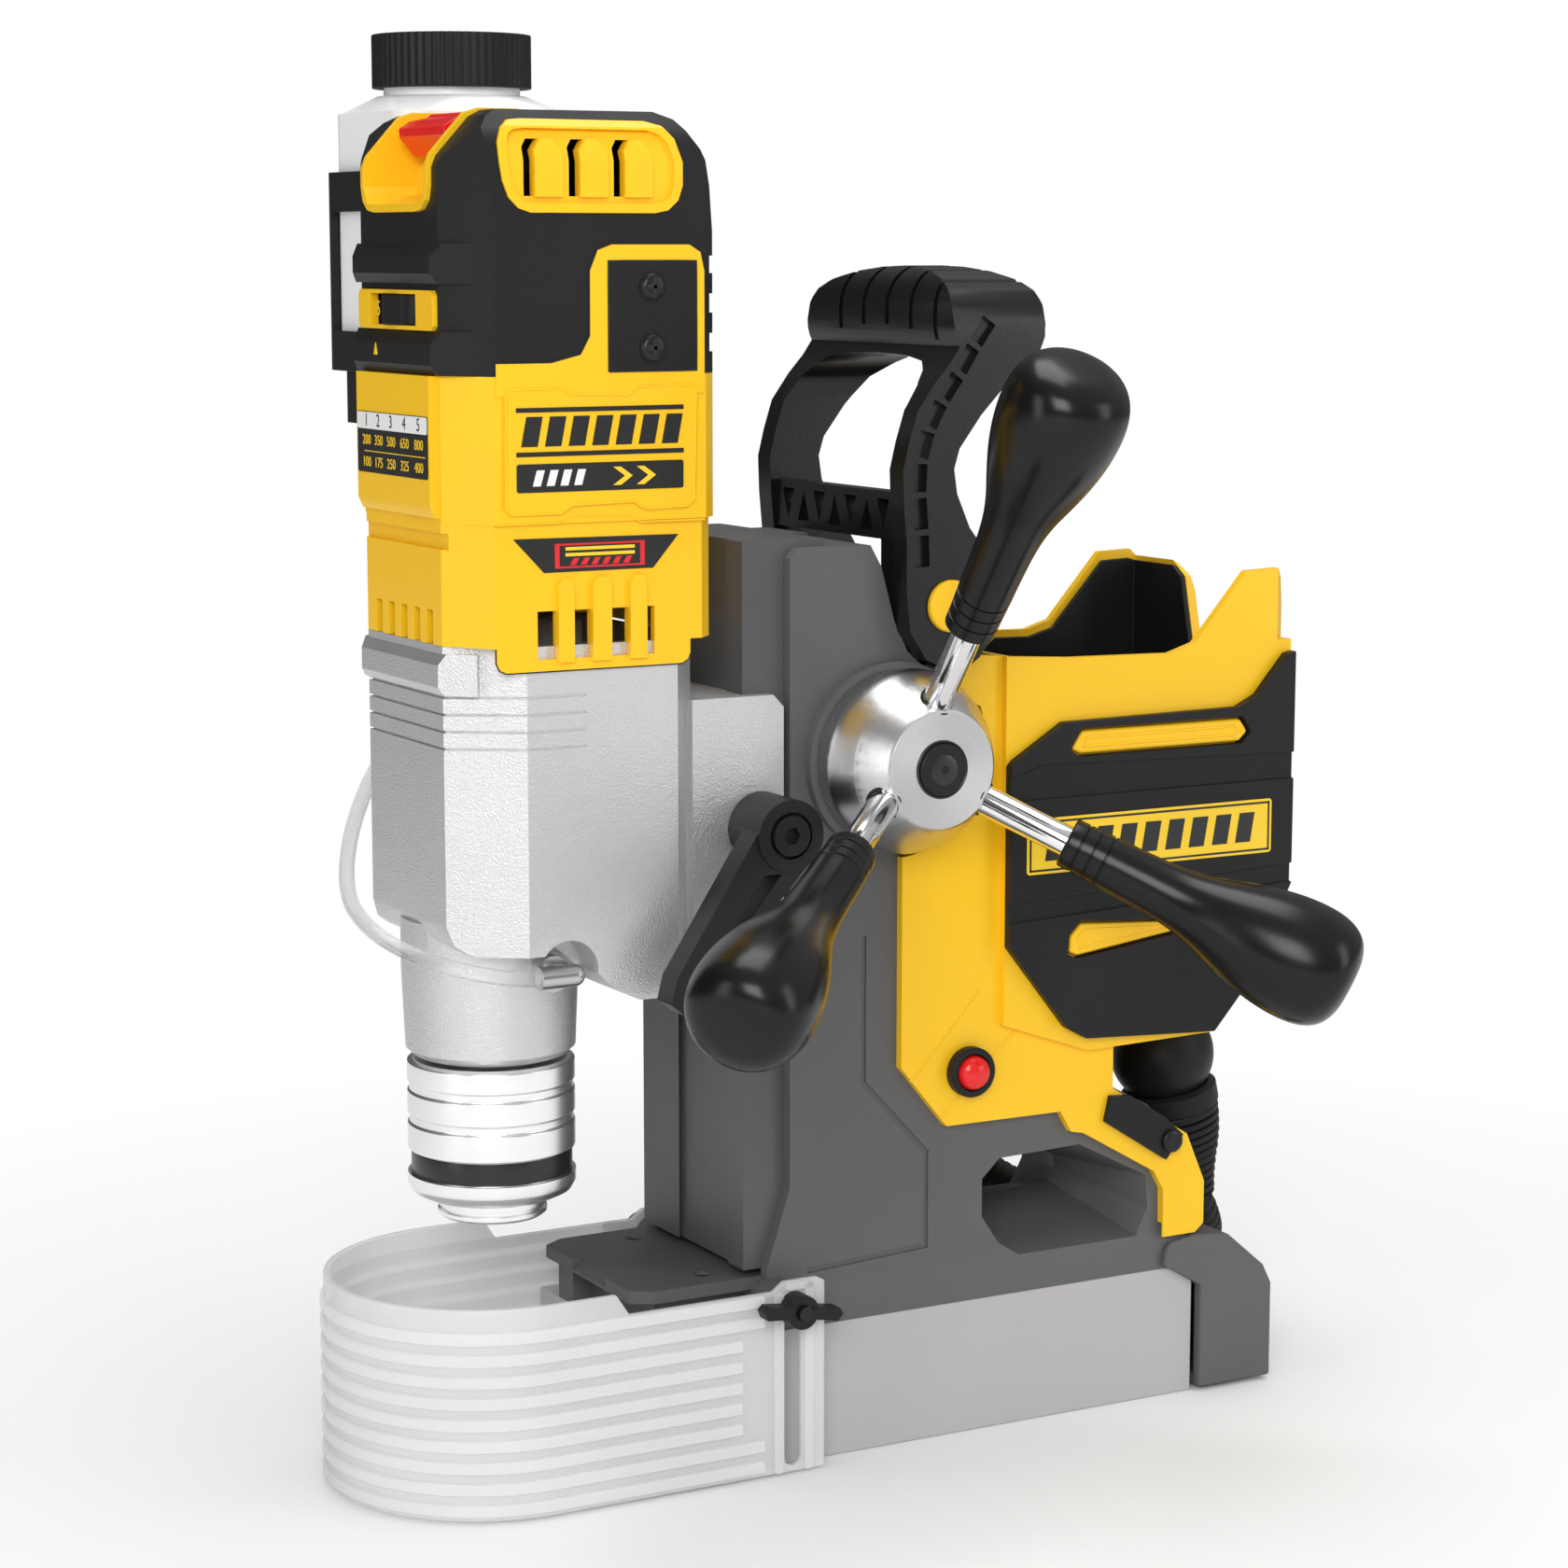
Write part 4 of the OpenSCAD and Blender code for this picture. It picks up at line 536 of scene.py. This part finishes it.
def make_handles():
    """Chrome spokes, knobs with grooved sleeves, and the plug in the hub."""
    sleeve = [(5, 0), (7.5, 0), (8.1, 0.5), (8.2, 0.9), (8.25, 4.3), (7.8, 4.55), (7.8, 4.85), (8.25, 5.1),
              (8.35, 8.7), (7.9, 8.95), (7.9, 9.25), (8.4, 9.5), (8.5, 13.1), (8.05, 13.35),
              (8.05, 13.65), (8.55, 13.9)]
    bulb = [(8.6, 15), (8.8, 24), (9.3, 34), (10.3, 42), (12, 49), (14.6, 57), (17, 65), (18.7, 73),
            (19.5, 81), (19.2, 88), (17.6, 93.5), (14.6, 97.4), (10, 99.7), (5, 100.4), (0, 100.5)]
    for k in range(3):
        place = spoke_matrix(k)
        lathe(f"spoke_{k}", [(0, 14), (4.9, 14), (4.99, 14.2), (4.99, 84)], "chrome", "feed", place,
              n=64)
        lathe(f"knob_{k}", sleeve + rounded(bulb), "knob_black", "feed",
              place @ Matrix.Translation((0, 0, 56)))
        # dark ring at the spoke's base, leaning with the cone's slope
        lathe(f"spoke_ring_{k}", [(5.02, -2.2), (5.6, -2.0), (5.85, 0.1), (5.6, 0.5), (5.02, 0.4)],
              "dark_band", "feed", place @ Matrix.Translation((0, 0, 26.0))
              @ Matrix.Rotation(math.radians(8), 4, "X"), n=64)
    for first, node in (("spoke_0", "feed_spokes"), ("knob_0", "feed_knobs")):
        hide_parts(node)
        REPLACED.add(node)
    facing_out = Matrix.Translation((HUB.x, HUB_FACE_Y, HUB.z)) @ Matrix.Rotation(math.radians(90), 4, "X")
    lathe("hub_plug", [(9.4, -0.1), (9.4, 0.25), (8.9, 0.5), (8.6, 0.3), (8.45, -0.5), (8.4, 0.2),
                       (8.1, 1.0), (7.5, 1.35), (3, 1.7), (0, 1.75)], "dark_band", "feed", facing_out)


# ------------------------------------------------------------------ chuck and neck
def make_chuck_details():
    """Black band of the chuck, and the fine groove above it drawn as a dark ring: painted shade of the
    groove.
    """
    axis = Matrix.Translation((SPX, 0, 0))
    lathe("chuck_band", [(25.5, 101.05), (25.75, 101.15), (25.86, 101.6), (25.86, 107.9),
                         (25.75, 108.35), (25.5, 108.5)], "dark_band", "spindle", axis)
    lathe("chuck_groove_shade", [(25.62, 109), (25.75, 109.3), (25.62, 109.6)], "dark_steel", "spindle", axis)


# ------------------------------------------------------------------ guard ribs
GUARD_CX = -144.0
GUARD_R = 52.0


def guard_plan(r, x_far, x_near):
    """Points along the guard's outside, from the far side round the front to the near side."""
    steps = 40
    straight = [x_far + (GUARD_CX - x_far) * k / 8 for k in range(8)]
    pts = [(x, r) for x in straight]
    pts += [(GUARD_CX + r * math.cos(math.radians(90 + 180 * k / steps)),
             r * math.sin(math.radians(90 + 180 * k / steps))) for k in range(steps + 1)]
    pts += [(GUARD_CX + (x_near - GUARD_CX) * k / 8, -r) for k in range(1, 9)]
    return pts


def make_guard_ribs():
    """Rounded bands round the outside of the guard, in a whiter copy of its plastic: painted highlight on
    the ribs.
    """
    heights = [4.5 + 6.9 * i for i in range(9)]
    profile = [(-0.3, -2.1), (0.9, -1.9), (1.25, -1.55), (1.3, 0.0), (1.15, 1.3), (0.7, 1.9), (-0.3, 2.1)]
    for i, z in enumerate(heights):
        end = -70.0 if z < 60 else -120.0
        near = -78.0 if 18 < z < 52 else end
        verts, faces = [], []
        for out, up in profile:
            for x, y in guard_plan(GUARD_R + out, end, near):
                verts.append((x, y, z + up))
        row = len(verts) // len(profile)
        for a in range(len(profile) - 1):
            for b in range(row - 1):
                faces.append((a * row + b, a * row + b + 1, (a + 1) * row + b + 1, (a + 1) * row + b))
        for b in (0, row - 1):
            faces.append(tuple(a * row + b for a in range(len(profile))))
        obj = mesh_object(f"guard_rib_{i}", verts, faces)
        finish_mesh(obj, "guard_rib", "guard", smooth=30)
    # frame round the guard's rear edge on both sides
    for s, tag in ((1, "far"), (-1, "near")):
        y0, y1 = sorted((s * 51.8, s * 52.9))
        for j, (a, b, c, d) in enumerate(((-66, 1.2, -62.6, 61.6), (-55, 1.2, -51.6, 64.4),
                                          (-61.8, 61.9, -51.6, 64.4))):
            prism(f"guard_frame_{tag}_{j}", box_outline(a, b, c, d, 1.0, 3), y0, y1, "side",
                  "guard_clear", "guard", 0.3)


# ------------------------------------------------------------------ labels
# thickness of a printed layer, and the head's flat sides that carry print
SKIN = 0.22
SIDE_Y = -46.7
LOWER_SIDE_Y = -44.8
SPEED_X = SPX - 30.7
DOCK_Y = -50


def make_side_labels():
    """Plain generic graphics where the real machine has its maker's words."""
    y = SIDE_Y
    for k, (z0, z1) in enumerate(((345.2, 346.6), (331.9, 333.3))):
        prism(f"side_rule_{k}", box_outline(SPX - 10.2, z0, SPX + 46.3, z1), y - SKIN, y, "side",
              "label_and_shade_black", "head")
    for k in range(7):
        x = SPX - 8.6 + k * 7.9
        prism(f"side_bar_{k}", [(x, 334.9), (x + 5.4, 334.9), (x + 7.2, 343.9), (x + 1.8, 343.9)],
              y - SKIN, y, "side", "label_and_shade_black", "head")
    prism("side_strip", box_outline(SPX - 10.2, 321.1, SPX + 46.2, 329.7, 0.8, 3), y - SKIN, y, "side",
          "label_and_shade_black", "head")
    for k in range(4):
        x = SPX - 5 + k * 4.6
        prism(f"strip_mark_{k}", [(x, 323), (x + 2.6, 323), (x + 4, 327.8), (x + 1.4, 327.8)],
              y - 2 * SKIN, y - SKIN, "side", "label_white", "head")
    for k, x in enumerate((SPX + 22, SPX + 30)):
        prism(f"strip_chevron_{k}", [(x, 322.6), (x + 2.6, 322.6), (x + 6.6, 325.4), (x + 2.6, 328.2),
                                     (x, 328.2), (x + 4, 325.4)], y - 2 * SKIN, y - SKIN, "side",
              "label_yellow", "head")
    # trapezoid plate on the lower side
    low = LOWER_SIDE_Y
    prism("lower_plate", [(SPX - 10.8, 307.1), (SPX + 45.3, 306.7), (SPX + 36.5, 296.6),
                          (SPX - 0.6, 296.5)], low - 0.3, low, "side", "label_and_shade_black", "head", 0.1, 1)
    prism("lower_frame", [(SPX + 3.0, 305.2), (SPX + 33.5, 305.2), (SPX + 33.5, 297.7),
                          (SPX + 3.0, 297.7)], low - 0.42, low - 0.3, "side", "label_red", "head")
    prism("lower_field", [(SPX + 4.6, 304.6), (SPX + 31.9, 304.6), (SPX + 31.9, 298.3),
                          (SPX + 4.6, 298.3)], low - 0.52, low - 0.42, "side", "label_and_shade_black", "head")
    for k in range(6):
        x = SPX + 8 + k * 3.6
        prism(f"lower_hatch_{k}", [(x, 298.6), (x + 1.9, 298.6), (x + 3.2, 300.7), (x + 1.3, 300.7)],
              low - 0.6, low - 0.52, "side", "label_red", "head")
    for k in range(2):
        prism(f"lower_bar_{k}", box_outline(SPX + 6.5, 301.3 + 1.8 * k, SPX + 30, 302.3 + 1.8 * k),
              low - 0.6, low - 0.52, "side", "label_yellow", "head")


def make_speed_label():
    """Plate of speed steps on the head's front, and the dial's own number and mark."""
    x = SPEED_X
    prism("speed_plate", box_outline(-27.6, 324.6, 27.6, 343.6, 1.0, 4), x - SKIN, x, "front",
          "label_and_shade_black", "head")
    prism("speed_header", box_outline(-27.4, 338.2, 27.4, 343.4, 0.8, 4), x - 1.5 * SKIN, x - SKIN,
          "front", "label_white", "head")
    columns = [20.0, 10.5, 0.5, -10.0, -21.0]
    for k, y in enumerate(columns):
        number(f"speed_step_{k}", str(k + 1), (x - 1.6 * SKIN, y, 340.8), 5.6, "front", "label_and_shade_black",
               "head")
        number(f"speed_high_{k}", str(200 + 150 * k), (x - 1.2 * SKIN, y, 334.7), 4.5, "front",
               "label_yellow", "head")
        number(f"speed_low_{k}", str(100 + 75 * k), (x - 1.2 * SKIN, y, 327.8), 4.5, "front",
               "label_yellow", "head")
    prism("speed_line", box_outline(-26, 331.1, 22, 331.4), x - 1.4 * SKIN, x - SKIN, "front",
          "label_yellow", "head")
    # the number that the dial shows, and the mark under its window
    number("dial_step", "5", (SPX - 30.6, 9.5, 375.5), 6.5, "front", "label_yellow", "dial", 0.7)
    prism("dial_mark", [(10.6, 361.4), (13.4, 361.4), (12, 365.2)], SPX - 30.95, SPX - 30.6,
          "front", "label_yellow", "head")


def make_dock_label():
    """Yellow plate with a black rim and a plain row of bars."""
    prism("dock_plate", box_outline(30, 189.6, 129, 208.2, 1.2, 4), DOCK_Y - 0.35, DOCK_Y, "side",
          "label_yellow", "base", 0.12, 1)
    for k, (x0, z0, x1, z1) in enumerate(((31, 190.5, 128, 191.2), (31, 206.6, 128, 207.3),
                                          (31, 190.5, 31.7, 207.3), (127.3, 190.5, 128, 207.3))):
        prism(f"dock_line_{k}", box_outline(x0, z0, x1, z1), DOCK_Y - 0.45, DOCK_Y - 0.35, "side",
              "label_and_shade_black", "base")
    for k in range(9):
        x = 37 + k * 9.6
        prism(f"dock_bar_{k}", [(x, 193.9), (x + 6.2, 193.9), (x + 8.0, 204), (x + 1.8, 204)],
              DOCK_Y - 0.45, DOCK_Y - 0.35, "side", "label_and_shade_black", "base")


PAD_SLOTS = [
    [(47.9, 230.2), (51.4, 228.6), (115.7, 228.6), (119.1, 231.8), (116.0, 236.2), (52.1, 236.2)],
    [(47.9, 162.0), (50.9, 160.7), (98.9, 166.6), (100.4, 168.2), (52.3, 171.4), (48.3, 167.6)],
]
PAD_LINES = [
    [(52.6, 231.0), (113.6, 231.0), (115.6, 232.3), (113.8, 233.9), (53.6, 233.9)],
    [(51.8, 163.2), (92.6, 167.2), (53.4, 169.3), (50.8, 166.6)],
]


# distance from the middle plane of the dock's shell, of the bars' faces and of the yellow panel
SHELL_Y = 45.9
BAR_Y = 49.4
PANEL_Y = 43.2


def make_pad_inlays():
    """Yellow bars set in the side pads, and the raised lines across the panel round the button."""
    for side, tag in ((-1, "near"), (1, "far")):
        for k, outline in enumerate(PAD_SLOTS):
            low, high = sorted((side * SHELL_Y, side * BAR_Y))
            prism(f"pad_inlay_{tag}_{k}", outline, low, high, "side", "yellow", "base", 1.1, 3)
            outline_bead(f"pad_line_{tag}_{k}", PAD_LINES[k], side * BAR_Y, 0.45, "side", "yellow",
                         "base")
        for k, ends in enumerate((((-10.2, 123.2), (16.0, 151.8)), ((1.2, 109.6), (33.2, 138.8)))):
            outline_bead(f"panel_line_{tag}_{k}", list(ends), side * PANEL_Y, 0.5, "side", "yellow",
                         "base", closed=False)


# ------------------------------------------------------------------ screws
def make_screws():
    """Cross-head screws of the side cover and socket screws of the rear covers."""
    for k, z in enumerate((364.0, 382.5)):
        place = (Matrix.Translation((SPX + 36, -47.0, z)) @ Matrix.Rotation(math.radians(90), 4, "X"))
        lathe(f"cover_screw_{k}", [(4.6, 0), (4.6, 0.35), (4.2, 0.35), (3.9, 0.9), (3.4, 1.3), (2, 1.5),
                                   (0, 1.55)], "dark_steel", "head", place, n=48)
        # the cross recess is a thin black cross laid on the domed head: painted shade of the recess
        for j, (a, b) in enumerate(((2.6, 0.65), (0.65, 2.6))):
            prism(f"screw_cross_shade_{k}_{j}", box_outline(SPX + 36 - a, z - b, SPX + 36 + a, z + b), -48.62,
                  -48.4, "side", "label_and_shade_black", "head", 0.1, 1)
    REPLACED.add("head_screws")
    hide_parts("head_screws")
    # socket screw in the rear cover on each side
    for s, tag in ((-1, "near"), (1, "far")):
        turn = Matrix.Rotation(math.radians(90 if s < 0 else -90), 4, "X")
        lathe(f"cover_bolt_{tag}", [(3.9, 0), (3.9, 0.5), (3.4, 0.9), (2.3, 1.0), (2.0, 0.3), (0, 0.3)],
              "dark_steel", "base", Matrix.Translation((93, s * 46.1, 91.5)) @ turn, n=48)


def outline_bead(name, points, level, radius, face, mat, body, closed=True):
    """A fine raised bead along a line on a flat side; level is the side's own coordinate."""
    place = {"side": lambda a, b: Vector((a, level, b)), "front": lambda a, b: Vector((level, a, b))}[face]
    pts = [place(a, b) for a, b in points]
    if closed:
        pts.append(pts[0])
    path = [pts[0]]
    for a, b in zip(pts, pts[1:]):
        count = max(1, round((b - a).length / 6.0))
        path += [a.lerp(b, (k + 1) / count) for k in range(count)]
    obj = sweep(name, path, lambda i, n: circle(radius, 8), closed_ends=not closed)
    return finish_mesh(obj, mat, body, smooth=60)


PANEL = [(-13.5, 352), (4.7, 352.2), (8.5, 350.2), (27.4, 349.8), (31.2, 352.3), (48.5, 352.6),
         (50.8, 350.8), (50, 317.3), (47.4, 315.3), (32.9, 315), (29.1, 317.4), (8.2, 316.9), (4.4, 314.5),
         (-11.8, 314.5), (-13.9, 316.5)]


def make_seams():
    """Raised edges and part lines of the moulded covers."""
    outline_bead("panel_edge", [(SPX + a, b) for a, b in PANEL], -46.72, 0.38, "side", "yellow", "head")
    outline_bead("housing_seam", [(SPX - 16.6, 311.6), (SPX + 4, 311.6), (SPX + 8, 313.4),
                                  (SPX + 28, 313.0), (SPX + 32, 311.0), (SPX + 54, 311.0)], -45.95, 0.35,
                 "side", "yellow", "head", closed=False)
    # joint between the black cover and the yellow housing, on the near side
    outline_bead("cover_joint", [(SPX - 16.5, 356.1), (SPX - 16.5, 359.9), (SPX + 1.6, 359.9),
                                 (SPX + 11.6, 362.3), (SPX + 14.8, 367.9), (SPX + 14.9, 387.5),
                                 (SPX + 17.5, 393.6), (SPX + 22.3, 395.3), (SPX + 48.8, 395.3),
                                 (SPX + 52.6, 393), (SPX + 53.9, 387.3), (SPX + 53.9, 358)], -46.15, 0.25,
                 "side", "label_and_shade_black", "head", closed=False)
    outline_bead("side_cover_joint", [(SPX + 21, 357), (SPX + 51, 357), (SPX + 51, 390.3),
                                      (SPX + 21, 390.3)], -46.7, 0.3, "side", "label_and_shade_black", "head")
    # lower edge of the yellow skirt over the casting
    outline_bead("skirt_edge", [(SPX - 16.7, 274), (SPX - 16.7, 269.6), (SPX - 15.7, 267.4),
                                (SPX - 13.4, 266.3), (SPX + 46.4, 266.3), (SPX + 48.7, 267.5),
                                (SPX + 49.6, 269.8), (SPX + 49.6, 274)], -44.6, 0.28, "side",
                 "label_and_shade_black", "head", closed=False)


make_seams()
make_handles()
make_chuck_details()
make_guard_ribs()
make_side_labels()
make_speed_label()
make_dock_label()
make_pad_inlays()
make_screws()


# ------------------------------------------------------------------ floor and light
def make_world():
    """White backdrop; light from above and from the near right side, darker towards the left."""
    world = bpy.data.worlds.new("world")
    bpy.context.scene.world = world
    world.use_nodes = True
    tree = world.node_tree
    back = tree.nodes["Background"]
    where = tree.nodes.new("ShaderNodeTexCoord")
    toward = tree.nodes.new("ShaderNodeVectorMath")
    toward.operation = "DOT_PRODUCT"
    toward.inputs[1].default_value = (0.35, -0.30, 0.75)
    tree.links.new(where.outputs["Generated"], toward.inputs[0])
    ramp = tree.nodes.new("ShaderNodeValToRGB")
    ramp.color_ramp.elements[0].position = 0.0
    ramp.color_ramp.elements[0].color = (0.16, 0.16, 0.16, 1)
    ramp.color_ramp.elements[1].position = 0.8
    ramp.color_ramp.elements[1].color = (1, 1, 1, 1)
    tree.links.new(toward.outputs["Value"], ramp.inputs["Fac"])
    tree.links.new(ramp.outputs["Color"], back.inputs["Color"])
    back.inputs["Strength"].default_value = 0.56
    plain = tree.nodes.new("ShaderNodeBackground")
    plain.inputs["Color"].default_value = (1, 1, 1, 1)
    plain.inputs["Strength"].default_value = 1.0
    seen = tree.nodes.new("ShaderNodeLightPath")
    mix = tree.nodes.new("ShaderNodeMixShader")
    tree.links.new(seen.outputs["Is Camera Ray"], mix.inputs["Fac"])
    tree.links.new(back.outputs["Background"], mix.inputs[1])
    tree.links.new(plain.outputs["Background"], mix.inputs[2])
    tree.links.new(mix.outputs["Shader"], tree.nodes["World Output"].inputs["Surface"])


def floor_material():
    """Matt white near the machine, glowing into the white backdrop further out."""
    mat = material("floor_white", (0.90, 0.90, 0.90), 0.85, 0.0, grain=(60, 0.02, 0.0002),
                   vary=0.005, sockets={"Specular IOR Level": 0.1})
    tree = mat.node_tree
    where = tree.nodes.new("ShaderNodeTexCoord")
    far = tree.nodes.new("ShaderNodeVectorMath")
    far.operation = "LENGTH"
    tree.links.new(where.outputs["Object"], far.inputs[0])
    fade = tree.nodes.new("ShaderNodeMapRange")
    fade.inputs["From Min"].default_value = 0.12
    fade.inputs["From Max"].default_value = 0.55
    tree.links.new(far.outputs["Value"], fade.inputs["Value"])
    glow = tree.nodes.new("ShaderNodeEmission")
    glow.inputs["Color"].default_value = (1, 1, 1, 1)
    seen = tree.nodes.new("ShaderNodeLightPath")
    only = tree.nodes.new("ShaderNodeMath")
    only.operation = "MULTIPLY"
    tree.links.new(seen.outputs["Is Camera Ray"], only.inputs[0])
    tree.links.new(fade.outputs["Result"], only.inputs[1])
    mix = tree.nodes.new("ShaderNodeMixShader")
    tree.links.new(only.outputs["Value"], mix.inputs["Fac"])
    tree.links.new(tree.nodes["Principled BSDF"].outputs["BSDF"], mix.inputs[1])
    tree.links.new(glow.outputs["Emission"], mix.inputs[2])
    tree.links.new(mix.outputs["Shader"], tree.nodes["Material Output"].inputs["Surface"])
    return mat


def make_stage():
    """Floor, backdrop, view transform and lamps."""
    floor = mesh_object("floor", [(-3000, -3000, 0), (3000, -3000, 0), (3000, 3000, 0),
                                  (-3000, 3000, 0)], [(0, 1, 2, 3)])
    floor.data.materials.append(floor_material())
    make_world()
    bpy.context.scene.view_settings.view_transform = "Standard"
    area_light("key", (-1.05, -1.6, 1.0), (-0.05, 0, 0.2), 0.9, 20)
    area_light("left", (-2.0, -0.45, 0.55), (-0.14, 0, 0.25), 0.55, 7, 1.5)
    area_light("right", (1.3, -1.5, 0.7), (0, 0, 0.2), 0.6, 6, 1.2)
    area_light("top", (0.1, 0.1, 1.9), (0, 0, 0.2), 1.1, 17)

dress_cad()
make_stage()
